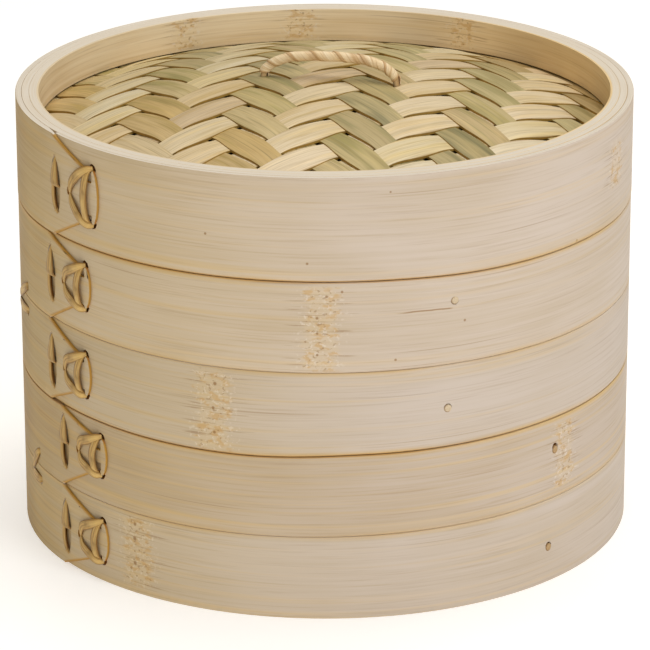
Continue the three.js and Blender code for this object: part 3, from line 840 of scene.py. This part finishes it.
backing_finish = wall_finish("backing_bamboo", srgb(222, 204, 176), srgb(208, 184, 146), 2.7 * MM)
inner_finish = wall_finish(
    "inner_bamboo", srgb(232, 214, 182), srgb(212, 186, 142), 2.5 * MM,
    knots=[(math.radians(a) * 96.5 * MM, 4.5 * MM, 0.137, 0.150) for a in (-176, -212, -150)],
)
for tier in ("lower_tier", "upper_tier"):
    pegs = [peg_places[f"{tier}_{place}"] for place in ("bottom", "top")]
    peg_holes = [(angle, height, 1.7 * MM, 1.7 * MM) for angle, height in pegs]
    side = [(angle, height, 1.4 * MM, 1.9 * MM) for angle, height in side_holes[tier]]
    lacing_holes = drilled([f"{tier}_bottom", f"{tier}_top"])
    plain_hoop(f"{tier}_backing_hoop", tier, "backing", backing_finish, BACKING_JOINT,
               holes=lacing_holes + side + peg_holes, thickness=2.6 * MM, outer=99.4 * MM)
    plain_hoop(f"{tier}_inner_wall", tier, "wall", inner_finish, WALL_JOINT, holes=peg_holes)
    low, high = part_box(f"{tier}_front_cross_bar")
    notches = []
    for side_of in (1, -1):
        for y in (-1, 1):
            corners = [wall_angle(side_of * BAR_REACH, y * -edge) for edge in (low.y, high.y)]
            notches.append((min(corners), max(corners), low.z - 0.3 * MM))
    plain_hoop(f"{tier}_base_hoop", tier, "wall", inner_finish, WALL_JOINT, notches=notches)
plain_hoop("lid_backing_hoop", "lid", "backing", backing_finish, BACKING_JOINT, holes=drilled(["lid"]),
           thickness=2.42 * MM, outer=99.57 * MM)
plain_hoop("lid_rim_hoop", "lid", "wall", inner_finish, RIM_JOINT, thickness=3.12 * MM,
           outer=97.12 * MM)
plain_hoop("lid_seat_hoop", "lid", "wall", inner_finish, WALL_JOINT)

# %% [markdown]
# ## The woven dome
# Two sets of flat strips cross at right angles in a two-over, two-under twill, which is what
# makes the herringbone. Each strip is a grid whose length follows the round edge of the lid.
# It rises where it passes over the other set and dips where it passes under; because the float
# covers two strips, the rise is a stretched cosine. Green skin-side strips run one way and
# pale inner-side strips the other.

# %% Weave layout
dome_low, dome_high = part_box("lid_woven_dome")
dome_radius = hoop_size("lid_rim_hoop")[0] - 0.5 * MM
DOME_RISE = 14.5 * MM
WEAVE_CORNER = Vector((2.33, -21.04)) * MM     # where two strip edges cross near the middle
WEAVE_TURN = math.radians(35.25)
PALE_WAY = Vector((math.cos(WEAVE_TURN), math.sin(WEAVE_TURN)))
GREEN_WAY = Vector((math.sin(WEAVE_TURN), -math.cos(WEAVE_TURN)))
GREEN_PITCH = 11.96 * MM
PALE_PITCH = 12.78 * MM
WOVEN_EDGE = 96.3 * MM
CLAMPED_FROM = 95.5 * MM
CLAMP_RUN = 5 * MM            # over which a strip flattens before the hoops clamp it
print("dome from", dome_low.z, "to", dome_high.z)


def dome_height(x, y):
    share = min(1.0, math.hypot(x, y) / dome_radius)
    return dome_high.z - DOME_RISE * share * share


def flattening(x, y):
    """1 on the dome, falling to 0 where the strips are clamped between the hoops."""
    share = min(1.0, max(0.0, (CLAMPED_FROM - math.hypot(x, y)) / CLAMP_RUN))
    return share * share * (3 - 2 * share)


def weave_strip(bm, layers, corner, way, cross, index, pitch, other, phase, look):
    """One woven strip: way is its direction, cross the direction to the next strip."""
    lay, tint, second = layers
    width = look["width"]
    offset = (index + 0.5) * pitch
    from_middle = (corner + cross * offset).dot(cross)
    before = len(bm.verts)
    limit = WOVEN_EDGE - 0.4 * MM
    left, right = max(from_middle - width / 2, -limit), min(from_middle + width / 2, limit)
    if right - left < 1.5 * MM:
        return
    longest = math.sqrt(WOVEN_EDGE ** 2 - min(abs(left), abs(right)) ** 2)
    columns = max(10, round(2 * longest / look["step"]))
    bmesh.ops.create_grid(bm, x_segments=columns, y_segments=look["rows"], size=1.0)
    bm.verts.ensure_lookup_table()
    jitter = random.Random(look["seed"] * 100 + index)
    sway, bow = jitter.uniform(-0.22, 0.22) * MM, jitter.uniform(0.6, 1.4)
    for vertex in bm.verts[before:]:
        side, end = vertex.co.y, vertex.co.x
        across = (left + right) / 2 + side * (right - left) / 2
        reach = math.sqrt(WOVEN_EDGE ** 2 - across ** 2)
        along = end * reach
        steps = (along - corner.dot(way)) / other
        swing = math.cos(math.pi / 2 * (steps - phase))
        over = math.tanh(2.0 * swing) / math.tanh(2.0)
        pinch = 1 - look["pinch"] * (1 - swing * swing)
        across = from_middle + (across - from_middle) * pinch + sway * math.sin(along * 40 + index)
        spot = way * along + cross * across
        flat = flattening(spot.x, spot.y)
        crown = -look["arch"] * side * side * bow * (0.4 + 0.6 * max(0.0, over))
        height = look["top"] + flat * (look["lift"] * (over - 1) + crown) - (1 - flat) * look["sink"]
        z = dome_height(spot.x, spot.y) - look["below"] + height
        vertex.co = (spot.x, spot.y, z)
        vertex[lay] = (along, across - from_middle, index * 0.37 + look["seed"])
        vertex[tint] = look["tints"][index % len(look["tints"])]
        vertex[second] = look["seconds"][index % len(look["seconds"])]


def weave(name, node, slot, material, sets, thickness):
    bm = bmesh.new()
    for kind, name_of in (("float_vector", "lay"), ("float_color", "tint"),
                          ("float_color", "second"), ("float", "shade")):
        getattr(bm.verts.layers, kind).new(name_of)
    depth = bm.verts.layers.float["shade"]
    colours = bm.verts.layers.float_color
    layers = (bm.verts.layers.float_vector["lay"], colours["tint"], colours["second"])
    for corner, way, cross, span, pitch, other, phase_of, look in sets:
        for index in range(*span):
            weave_strip(bm, layers, corner, way, cross, index, pitch, other, phase_of(index), look)
    bmesh.ops.recalc_face_normals(bm, faces=bm.faces[:])
    up = [face for face in bm.faces if face.normal.z < 0]
    bmesh.ops.reverse_faces(bm, faces=up)
    made = bmesh.ops.extrude_face_region(bm, geom=bm.faces[:], use_keep_orig=True)
    under = [item for item in made["geom"] if isinstance(item, bmesh.types.BMVert)]
    bmesh.ops.translate(bm, vec=(0, 0, -thickness), verts=under)
    for vertex in under:
        vertex[depth] = 1.0
    finished(name, bm, material, "lid", slot, *([node] if node else []), sharp=50.0)


# %% [markdown]
# ## Woven strip finish
# The green skin of the stalk keeps darker streaks and fades to tan; the pale strips are the
# inner wood. Each strip carries its own two tints as colour attributes, and stretched noise
# chooses between them along the strip. The cut sides are golden brown.

# %% Woven finish


def woven_finish(name, side_colour, fine):
    f = Finish(name)
    along, across, turn = f.parts(f.attribute("lay"))
    tint = f.attribute("tint", "Color")
    second = f.attribute("second", "Color")
    shift = turn * 13.0
    fibre = f.noise(along * 60.0, across * 1900.0, shift, detail=3.0)
    strand = f.noise(along * 16.0, across * 520.0, shift + 5.0)
    stain = f.noise(along * 26.0, across * 150.0, shift + 9.0)
    f.colour = f.mix((stain * 0.8 + strand * 0.3).rise(0.50, 0.68, 0.9), tint, second)
    vein = f.noise(along * 22.0, across * 900.0, shift + 15.0, detail=1.0)
    dark_vein = f.mix(1.0, second, (0.62, 0.64, 0.60, 1), "MULTIPLY")
    f.paint(vein.rise(0.60, 0.70, 0.42), dark_vein)
    rim = abs(across).rise(5.1 * MM, 5.7 * MM, 0.45)
    f.paint(rim, side_colour)
    deep = f.attribute("shade", "Fac")
    f.paint(deep.rise(0.02, 0.25), side_colour)
    darker = f.tinted((0.60, 0.54, 0.42, 1))
    f.paint(fibre.rise(0.44, 0.66, fine), darker)
    lighter = f.tinted((1.32, 1.30, 1.22, 1))
    f.paint(strand.rise(0.48, 0.72, 0.5), lighter)
    f.bump(fibre * 0.5 + strand * 0.5, 0.25 * MM, 0.5)
    return f.set(Base_Color=f.colour, Roughness=0.42 + strand * 0.2, Specular_IOR_Level=0.4)


# %% Dome strips
GREEN_TINTS = {
    -8: (196, 166, 116), -7: (200, 174, 124), -6: (206, 184, 142), -5: (198, 170, 116),
    -4: (196, 166, 106), -3: (198, 176, 126), -2: (190, 170, 116), -1: (182, 162, 114),
    0: (186, 168, 120), 1: (184, 164, 112), 2: (196, 172, 124), 3: (196, 176, 126),
    4: (194, 176, 126), 5: (194, 178, 128), 6: (182, 162, 110), 7: (176, 152, 104),
    8: (176, 150, 100),
}
GREEN_SECONDS = {
    -8: (170, 138, 84), -7: (176, 146, 90), -6: (184, 158, 104), -5: (172, 146, 84),
    -4: (160, 138, 76), -3: (158, 142, 84), -2: (150, 138, 78), -1: (146, 136, 88),
    0: (136, 126, 86), 1: (142, 132, 88), 2: (164, 148, 96), 3: (168, 152, 96),
    4: (166, 152, 100), 5: (168, 152, 100), 6: (146, 130, 80), 7: (150, 126, 76),
    8: (150, 124, 76),
}
PALE_TINTS = {
    -9: (214, 196, 152), -8: (214, 196, 152), -7: (210, 190, 148), -6: (214, 196, 156),
    -5: (220, 204, 168), -4: (220, 202, 162), -3: (214, 190, 146), -2: (208, 184, 146),
    -1: (220, 200, 162), 0: (220, 198, 158), 1: (224, 204, 168), 2: (228, 208, 174),
    3: (222, 204, 164), 4: (230, 214, 182), 5: (228, 210, 178),
}


def wheel(table):
    """Colours in an order that index % length picks rightly for negative indices too."""
    length = max(table) - min(table) + 1
    return [srgb(*table[min(table) + (i - min(table)) % length]) for i in range(length)]


def warmer(colour):
    red, green, blue = colour
    return red - 9, green - 13, blue - 24


STRIP_THICKNESS = 0.85 * MM
green_look = {
    "width": 11.25 * MM, "step": 2.0 * MM, "rows": 6, "seed": 3, "pinch": 0.20, "arch": 0.32 * MM,
    "top": 0.35 * MM, "lift": 0.62 * MM, "sink": 0.60 * MM, "below": 0.0,
    "tints": wheel(GREEN_TINTS), "seconds": wheel(GREEN_SECONDS),
}
pale_look = {
    **green_look, "width": 11.95 * MM, "seed": 7, "top": 0.30 * MM, "sink": 1.25 * MM,
    "arch": 0.25 * MM, "tints": wheel(PALE_TINTS),
    "seconds": wheel({index: warmer(colour) for index, colour in PALE_TINTS.items()}),
}
dome_finish = woven_finish("woven_strips", srgb(160, 126, 56), 0.42)
lining_finish = woven_finish("lining_strips", srgb(214, 184, 132), 0.6)
weave("lid_dome_green_strips", "lid_woven_dome", "weave", dome_finish, [
    (WEAVE_CORNER, GREEN_WAY, PALE_WAY, (-8, 9), GREEN_PITCH, PALE_PITCH, lambda m: 1 - m,
     green_look),
], STRIP_THICKNESS)
weave("lid_dome_pale_strips", None, "weave", dome_finish, [
    (WEAVE_CORNER, PALE_WAY, GREEN_WAY, (-9, 6), PALE_PITCH, GREEN_PITCH, lambda n: 3 - n,
     pale_look),
], STRIP_THICKNESS)

# %% [markdown]
# ## The lining
# Under the dome lies a second, plainer woven sheet, turned to another angle so that the two
# weaves close each other's gaps. Its top is painted dark brown, as the shade seen through the
# gaps of the dome; its underside is tan. It shows when the lid is lifted.

# %% Lining strips
lining_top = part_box("lid_woven_lining")[1].z
LINING_TURN = math.radians(78)
LINING_WAY = Vector((math.cos(LINING_TURN), math.sin(LINING_TURN)))
LINING_CROSS = Vector((math.sin(LINING_TURN), -math.cos(LINING_TURN)))
LINING_PITCH = 14.0 * MM
lining_look = {
    **green_look, "width": 13.4 * MM, "seed": 11, "top": 0.0, "lift": 0.30 * MM, "sink": 0.1 * MM,
    "arch": 0.1 * MM, "rows": 3, "step": 3.0 * MM, "below": dome_high.z - lining_top,
    # Painted shade: the lining's top is dark brown, so the dome's gaps look dark.
    "tints": wheel({i: (84 - 6 * (i % 3), 58 - 4 * (i % 2), 30) for i in range(-8, 9)}),
    "seconds": wheel({i: (66, 46, 24) for i in range(-8, 9)}),
}
weave("lid_lining_strips", "lid_woven_lining", "weave", lining_finish, [
    (Vector((0, 0)), LINING_WAY, LINING_CROSS, (-7, 7), LINING_PITCH, LINING_PITCH,
     lambda m: 1 - m, lining_look),
    (Vector((0, 0)), LINING_CROSS, LINING_WAY, (-7, 7), LINING_PITCH, LINING_PITCH,
     lambda n: 3 - n, {**lining_look, "seed": 13, "sink": 0.6 * MM}),
], 0.5 * MM)

# %% [markdown]
# ## Sweeping a thin strip
# Lacing, handle and wrapping are thin strips that turn in space. A round section of a few
# points is extruded from place to place along a path; at each step a matrix says how wide,
# how thick and how turned it is. The distance travelled is stored for the grain.

# %% Sweep
LAY_HALF = 1.5 * MM           # across is stored as if every strip were this wide


def spline(points, steps):
    """Smooth run through points of any number of values (Catmull-Rom)."""
    points = [Vector(p) for p in points]
    padded = [points[0] * 2 - points[1], *points, points[-1] * 2 - points[-2]]
    run = []
    for a, b, c, d in zip(padded, padded[1:], padded[2:], padded[3:]):
        for i in range(steps):
            t = i / steps
            run.append((2 * b + (c - a) * t + (2 * a - 5 * b + 4 * c - d) * t * t
                        + (3 * b - a - 3 * c + d) * t ** 3) / 2)
    return [*run, points[-1]]


def sweep(bm, path, normals, sizes, sides=10):
    """Extrudes an oval section along a path; sizes are (width, thickness) at each point."""
    lay = bm.verts.layers.float_vector.get("lay") or bm.verts.layers.float_vector.new("lay")
    frames, travelled, length = [], [], 0.0
    for i, place in enumerate(path):
        before, after = path[max(0, i - 1)], path[min(len(path) - 1, i + 1)]
        tangent = (after - before).normalized()
        side = tangent.cross(normals[i]).normalized()
        normal = side.cross(tangent)
        width, thickness = sizes[i]
        matrix = Matrix((side * width / 2, normal * thickness / 2, tangent * MM)).transposed().to_4x4()
        frames.append(Matrix.Translation(place) @ matrix)
        length += (place - path[max(0, i - 1)]).length
        travelled.append(length)
    made = bmesh.ops.create_circle(bm, segments=sides, radius=1.0, matrix=frames[0])
    ring = made["verts"]
    edges = list(dict.fromkeys(e for v in ring for e in v.link_edges))
    first = list(edges)
    for i, matrix in enumerate(frames):
        if i:
            step = matrix @ frames[i - 1].inverted()
            made = bmesh.ops.extrude_edge_only(bm, edges=edges)["geom"]
            ring = [item for item in made if isinstance(item, bmesh.types.BMVert)]
            edges = [item for item in made if isinstance(item, bmesh.types.BMEdge)]
            bmesh.ops.transform(bm, matrix=step, verts=ring)
        back = matrix.inverted()
        width, thickness = sizes[i]
        for vertex in ring:
            local = back @ vertex.co
            vertex[lay] = (travelled[i], local.x * LAY_HALF, local.y * thickness / 2)
    for loop in (first, edges):
        bmesh.ops.contextual_create(bm, geom=loop)


# %% [markdown]
# ## The lacing
# Beside each tongue thin strips go in and out of slits. The spindle is a single strip pushed
# through a long slit: it swells in the middle, folds in, and its tail curls down beside the
# slit. The fan starts at a point, runs to the two holes of the tongue, and one strip closes it
# between the holes. Each is drawn in millimetres from the middle of the holes: x to the right,
# z up, then how far it stands off the wall, its width and its thickness.

# %% Lacing finish


def lacing_finish(name, base, dark, light):
    f = Finish(name)
    along, across, lift = f.parts(f.attribute("lay"))
    fibre = f.noise(along * 110.0, across * 3800.0, detail=3.0)
    strand = f.noise(along * 60.0, across * 1300.0, 5.0)
    patchy = f.noise(along * 160.0, across * 240.0, 9.0)
    f.colour = f.mix(strand.rise(0.35, 0.70), base, light)
    f.paint(patchy.rise(0.50, 0.72, 0.6), dark)
    f.paint(fibre.rise(0.52, 0.36, 0.55), dark)
    # Both edges of each strip are painted dark: partly the strip's own darker edge, partly painted
    # shade in the gap beside it.
    edge = abs(across).rise(0.92 * MM, 1.40 * MM, 0.75)
    f.paint(edge, dark)
    f.bump(fibre * 0.5 + strand * 0.5, 0.3 * MM, 0.6)
    return f.set(Base_Color=f.colour, Roughness=0.45 + strand * 0.2, Specular_IOR_Level=0.4)


lacing_bamboo = lacing_finish(
    "lacing_bamboo", srgb(194, 152, 80), srgb(116, 78, 22), srgb(216, 182, 112))

# %% Lacing strips


def lace(bm, radius, angle, height, points, steps=5, sides=10):
    """One strip on the wall through (x, z, off the wall, width, thickness) in millimetres."""
    run = spline(points, steps)
    path, normals, sizes = [], [], []
    for x, z, out, width, thick in run:
        at = angle + math.degrees(x * MM / radius)
        path.append(wall_point(at, radius + out * MM, height + z * MM))
        normals.append(wall_point(at, 1.0, 0))
        sizes.append((max(0.15, width) * MM, max(0.15, thick) * MM))
    sweep(bm, path, normals, sizes, sides)


def fan_stitch(name, body):
    band = bands[name]
    low, high = band["low"][1], band["high"][1]
    middle, half = (low + high) / 2, (high - low) / 2 / MM
    bm = bmesh.new()
    tip = (-11.4, -0.7)
    upper_arm = [
        (tip[0] - 0.3, tip[1] - 0.5, -1.2, 0.9, 0.5), (tip[0] + 0.6, tip[1] + 0.3, 0.30, 1.3, 0.6),
        (-9.3, 3.0, 0.80, 3.2, 0.9), (-5.6, half * 0.74, 1.0, 3.4, 0.9),
        (-2.0, half, 0.80, 2.8, 0.9), (-0.2, half + 0.5, -0.9, 1.6, 0.7),
    ]
    lower_arm = [
        (tip[0] - 0.4, tip[1] + 0.3, -1.2, 0.9, 0.5), (tip[0] + 0.5, tip[1] - 0.5, 0.15, 1.4, 0.6),
        (-9.4, -3.6, 0.65, 3.0, 0.9), (-5.8, -half * 0.80, 0.9, 3.3, 0.9),
        (-2.0, -half - 0.1, 0.75, 2.7, 0.9), (-0.3, -half - 0.4, -0.9, 1.6, 0.7),
    ]
    closing = [
        (-1.1, half + 0.3, -1.0, 1.6, 0.7), (-1.8, half - 1.6, 0.75, 2.8, 0.8),
        (-3.1, 0.0, 1.05, 3.3, 0.8), (-2.2, -half + 1.6, 0.75, 3.0, 0.8),
        (-1.3, -half - 0.3, -1.0, 1.6, 0.7),
    ]
    for points in (upper_arm, lower_arm, closing):
        lace(bm, band["radius"], band["lap"], middle, points)
    finished(f"{name}_fan_lacing", bm, lacing_bamboo, body, "lacing",
             f"{name}_fan_stitch", sharp=50)


def spindle_stitch(name, body):
    band = bands[name]
    low, high = band["spindle"]
    angle, middle = low[0], (low[1] + high[1]) / 2
    angle += math.degrees(SPINDLE_SHIFT / band["radius"])
    bm = bmesh.new()
    lace(bm, band["radius"], angle, middle, [
        (-0.3, 9.2, -0.5, 0.9, 0.5), (-0.2, 7.4, 0.05, 2.2, 0.8), (0.0, 4.4, 0.45, 3.9, 1.0),
        (0.3, 1.8, 0.65, 4.7, 1.1), (0.5, 0.2, 0.55, 4.7, 1.1), (0.6, -0.8, -0.9, 4.2, 0.9),
    ], sides=12)
    lace(bm, band["radius"], angle, middle, [
        (-1.3, 0.8, 0.1, 1.4, 0.7), (-1.4, -2.4, 0.3, 2.1, 0.8), (-0.9, -5.6, 0.35, 2.2, 0.8),
        (0.2, -8.4, 0.25, 1.7, 0.6), (1.0, -9.7, -0.2, 0.6, 0.3),
    ])
    for x, z, lean in ((0.3, -8.3, 0.7), (-0.4, -8.0, -0.5), (0.9, -7.6, 1.0)):
        lace(bm, band["radius"], angle, middle, [
            (x, z, 0.1, 0.3, 0.2), (x + lean * 0.4, z - 0.7, 0.2, 0.25, 0.2),
            (x + lean, z - 1.3, 0.15, 0.15, 0.15),
        ], steps=2, sides=5)
    finished(f"{name}_spindle_lacing", bm, lacing_bamboo, body, "lacing",
             f"{name}_spindle_stitch", sharp=50)


bodies_of = {
    "lid": "lid", "upper_tier_top": "upper_tier", "upper_tier_bottom": "upper_tier",
    "lower_tier_top": "lower_tier", "lower_tier_bottom": "lower_tier",
}
for name, body in bodies_of.items():
    fan_stitch(name, body)
    spindle_stitch(name, body)

# %% Side stitches


def side_stitch(tier):
    """A short stitch over the seam between a tier's two bands."""
    holes = side_holes[tier]
    point = holes[0]
    above, below = sorted(holes[1:], key=lambda hole: -hole[1])
    bm = bmesh.new()
    for end, sign in ((above, 1), (below, -1)):
        run = math.radians(end[0] - point[0]) * tier_radius / MM
        rise = (end[1] - point[1]) / MM
        lace(bm, tier_radius, point[0], point[1], [
            (-0.2, 0.3 * sign, -1.2, 1.4, 0.5), (0.8, 0.7 * sign, -0.1, 2.2, 0.6),
            (run * 0.5, rise * 0.5 + 0.4 * sign, 0.25, 3.8, 0.8),
            (run - 0.9, rise - 0.2 * sign, 0.15, 3.0, 0.7), (run, rise, -1.0, 1.8, 0.6),
        ])
    finished(f"{tier}_side_lacing", bm, lacing_bamboo, tier, "lacing",
             f"{tier}_side_stitch", sharp=50)


for tier in ("lower_tier", "upper_tier"):
    side_stitch(tier)

# %% [markdown]
# ## Pegs
# A bamboo pin is driven through every hoop and cut off flush. Its head shows as a small disc
# in a ring, so it is a round bar whose face is inset twice, up and down. The ring is painted
# dark brown on its lower left side, as the shade that falls in it.

# %% Peg finish and pegs
PEG_RADIUS = 1.30 * MM


def peg_finish(name, pale, deep):
    f = Finish(name)
    x, y, _ = f.parts(f.attribute("lay"))
    grain = f.noise(x * 2600.0, y * 2600.0, 3.0)
    f.colour = f.mix(grain.rise(0.35, 0.7), pale, deep)
    from_centre = x.hypot(y) / PEG_RADIUS
    # Painted shade: the ring round the face is dark brown on its lower left side only.
    ring = from_centre.rise(0.60, 0.88, 0.6) * (x * -1.0 - y * 0.4).rise(-1.0 * MM, 0.9 * MM)
    f.paint(ring, srgb(112, 74, 34))
    f.bump(grain, 0.2 * MM, 0.5)
    return f.set(Base_Color=f.colour, Roughness=0.6, Specular_IOR_Level=0.25)


peg_looks = {
    "upper_tier": peg_finish("pale_pin", srgb(210, 192, 164), srgb(194, 170, 134)),
    "lower_tier": peg_finish("dark_pin", srgb(188, 158, 116), srgb(162, 128, 82)),
}


def peg(name, body, radius):
    angle, height = peg_places[name]
    inner = hoop_size(f"{body}_inner_wall")[0]
    bm = bmesh.new()
    length = radius - inner
    bmesh.ops.create_cone(bm, cap_ends=True, segments=24, radius1=PEG_RADIUS, radius2=PEG_RADIUS,
                          depth=length)
    face = max(bm.faces, key=lambda f: f.calc_center_median().z)
    bmesh.ops.inset_region(bm, faces=[face], thickness=0.35 * MM, depth=0.10 * MM)
    face = max(bm.faces, key=lambda f: f.calc_center_median().z)
    bmesh.ops.inset_region(bm, faces=[face], thickness=0.30 * MM, depth=-0.12 * MM)
    store_flat(bm)
    turn = math.radians(angle)
    basis = Matrix((
        (math.cos(turn), math.sin(turn), 0), (0, 0, 1), (math.sin(turn), -math.cos(turn), 0),
    )).transposed().to_4x4()
    middle = wall_point(angle, (radius + inner) / 2 + 0.02 * MM, height)
    bmesh.ops.transform(bm, matrix=Matrix.Translation(middle) @ basis, verts=bm.verts[:])
    finished(f"{name}_pin", bm, peg_looks[body], body, "peg", f"{name}_peg", sharp=60)


for name in peg_places:
    peg(name, bodies_of[name], tier_radius)

# %% [markdown]
# ## The handle
# A thin withe is bent into a low arch, its ends go down through the dome, and a split strip is
# wound round it, each turn lapping the last. The withe is a sweep along the arch. The wrapping
# is a flat strip with real thickness, wound round that arch afterwards: its length gives the
# turn, its width lies along the arch, and one edge rides up on the turn before.

# %% Handle path
withe_low, withe_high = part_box("lid_handle_withe")
HANDLE_MIDDLE = Vector(((withe_low.x + withe_high.x) / 2, (withe_low.y + withe_high.y) / 2, 0))
HANDLE_TURN = math.radians(-11.4)
HANDLE_WAY = Vector((math.cos(HANDLE_TURN), math.sin(HANDLE_TURN), 0))
HANDLE_HALF = 22.3 * MM
CROWN = 7.4 * MM              # middle of the withe above the top of the dome
handle_shape = [
    (-1.0, -0.9), (-0.99, 0.06), (-0.9, 0.45), (-0.66, 0.82), (-0.33, 0.97), (0, 1.0),
    (0.33, 0.97), (0.66, 0.82), (0.9, 0.45), (0.99, 0.06), (1.0, -0.9),
]
handle_points = [
    HANDLE_MIDDLE + HANDLE_WAY * x * HANDLE_HALF + Vector((0, 0, dome_high.z + z * CROWN))
    for x, z in handle_shape
]
handle_run = spline(handle_points, 8)
print("handle top", max(p.z for p in handle_run))

# %% Withe and wrapping
across_handle = Vector((-HANDLE_WAY.y, HANDLE_WAY.x, 0))
withe_mesh = bmesh.new()
sweep(withe_mesh, handle_run, [across_handle] * len(handle_run),
      [(2.1 * MM, 2.1 * MM)] * len(handle_run), sides=14)
withe_bamboo = lacing_finish(
    "withe_bamboo", srgb(200, 164, 112), srgb(120, 82, 40), srgb(222, 196, 150))
wrap_bamboo = lacing_finish(
    "wrap_bamboo", srgb(232, 204, 158), srgb(190, 148, 96), srgb(246, 226, 190))
finished("lid_handle_core", withe_mesh, withe_bamboo, "lid", "withe", "lid_handle_withe", sharp=60)

WRAP_TURNS = 7.5
WRAP_START, WRAP_END = 0.10, 0.91
WRAP_RADIUS = 1.16 * MM
WRAP_LAP = 0.32 * MM          # how far the trailing edge rides up on the turn before
WRAP_SKIN = 0.30 * MM
WRAP_OVERLAP = 1.22           # width of the strip over the advance of one turn
run_length = sum((b - a).length for a, b in zip(handle_run, handle_run[1:]))
wrap_width = WRAP_OVERLAP * run_length * (WRAP_END - WRAP_START) / WRAP_TURNS
wrap_length = WRAP_TURNS * 2 * math.pi * WRAP_RADIUS


def along_run(run, share):
    spot = min(1.0, max(0.0, share)) * (len(run) - 1)
    i = min(len(run) - 2, int(spot))
    return run[i].lerp(run[i + 1], spot - i), (run[i + 1] - run[i]).normalized()


wrap_mesh = flat_strip(0, wrap_length, -wrap_width / 2, wrap_width / 2, 190, 5)
thicken(wrap_mesh, WRAP_SKIN)
ease_edges(wrap_mesh, 0.1 * MM, lambda edge: True)
wrap_lay = store_flat(wrap_mesh)
for vertex in wrap_mesh.verts:
    x, depth, across = vertex.co
    share = x / wrap_length
    side = across / wrap_width
    vertex[wrap_lay] = (x, side * 2 * LAY_HALF, depth)
    taper = min(1.0, 0.25 + 8 * min(share, 1 - share))
    place = WRAP_START + (WRAP_END - WRAP_START) * share + across * taper / run_length
    centre, tangent = along_run(handle_run, place)
    upward = tangent.cross(across_handle).normalized() * -1
    turn = 2 * math.pi * WRAP_TURNS * share
    outward = upward * math.cos(turn) + across_handle * math.sin(turn)
    ripple = 0.04 * math.sin(share * 37.0) * MM
    reach = WRAP_RADIUS + WRAP_LAP * (0.5 - side) + WRAP_SKIN - depth + ripple
    vertex.co = centre + outward * reach
finished("lid_handle_wrapping", wrap_mesh, wrap_bamboo, "lid", "wrap", "lid_handle_wrap", sharp=60)

# %% [markdown]
# ## The floor of each tier
# Two cross bars are let into the base hoop and ten slats lie on them with gaps for the steam.
# They are split from thick stalks, so the edges are eased. Each starts as a box of the size
# that the frame gives, subdivided along its length, and pulled in where it reaches past the
# backing hoop.

# %% Slat finish


def slat_finish(name, pale, deep, along_axis):
    f = Finish(name)
    x, y, z = f.parts(f.node("ShaderNodeTexCoord", None, None, output="Object"))
    along, across = (x, y) if along_axis == "x" else (y, x)
    fibre = f.noise(along * 26.0, across * 1500.0, z * 1500.0, detail=3.0)
    strand = f.noise(along * 9.0, across * 380.0, z * 200.0)
    tone = f.noise(across * 54.0, 3.0, 1.0, detail=0.0)
    f.colour = f.mix((strand * 0.6 + tone * 0.5).rise(0.35, 0.75), pale, deep)
    f.paint(fibre.rise(0.48, 0.30, 0.4), FLECK_BROWN)
    f.bump(fibre, 0.15 * MM, 0.4)
    return f.set(Base_Color=f.colour, Roughness=0.55 + strand * 0.15, Specular_IOR_Level=0.3)


slat_bamboo = slat_finish("slat_bamboo", srgb(222, 194, 144), srgb(196, 160, 104), "y")
bar_bamboo = slat_finish("bar_bamboo", srgb(216, 186, 136), srgb(186, 150, 96), "x")

# %% Slats and cross bars


def floor_strip(node, body, material, long_axis):
    low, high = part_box(node)
    size, middle = high - low, (low + high) / 2
    bm = bmesh.new()
    bmesh.ops.create_cube(bm, size=1.0)
    length = 0 if long_axis == "x" else 1
    long_edges = [
        e for e in bm.edges if abs((e.verts[0].co - e.verts[1].co)[length]) > 0.5
    ]
    bmesh.ops.subdivide_edges(bm, edges=long_edges, cuts=12, use_grid_fill=True)
    bmesh.ops.transform(bm, matrix=Matrix.LocRotScale(middle, None, size), verts=bm.verts[:])
    corners = [e for e in bm.edges if e.calc_face_angle(0) > 1.0]
    bmesh.ops.bevel(bm, geom=corners, offset=0.45 * MM, segments=2, profile=0.5,
                    affect="EDGES", clamp_overlap=True, material=-1)
    edge = hoop_size(f"{body}_backing_hoop")[0] - 0.3 * MM
    for vertex in bm.verts:
        x, y = vertex.co.x, vertex.co.y
        away = math.hypot(x, y)
        if away > edge:
            if long_axis == "y":
                vertex.co.y = math.copysign(math.sqrt(edge ** 2 - x ** 2), y)
            else:
                vertex.co.x = math.copysign(math.sqrt(edge ** 2 - y ** 2), x)
    finished(f"{node}_split", bm, material, body, "slat", node, sharp=30)


for tier in ("lower_tier", "upper_tier"):
    for number in range(1, 11):
        floor_strip(f"{tier}_slat_{number}", tier, slat_bamboo, "y")
    for side_of in ("front", "back"):
        floor_strip(f"{tier}_{side_of}_cross_bar", tier, bar_bamboo, "x")
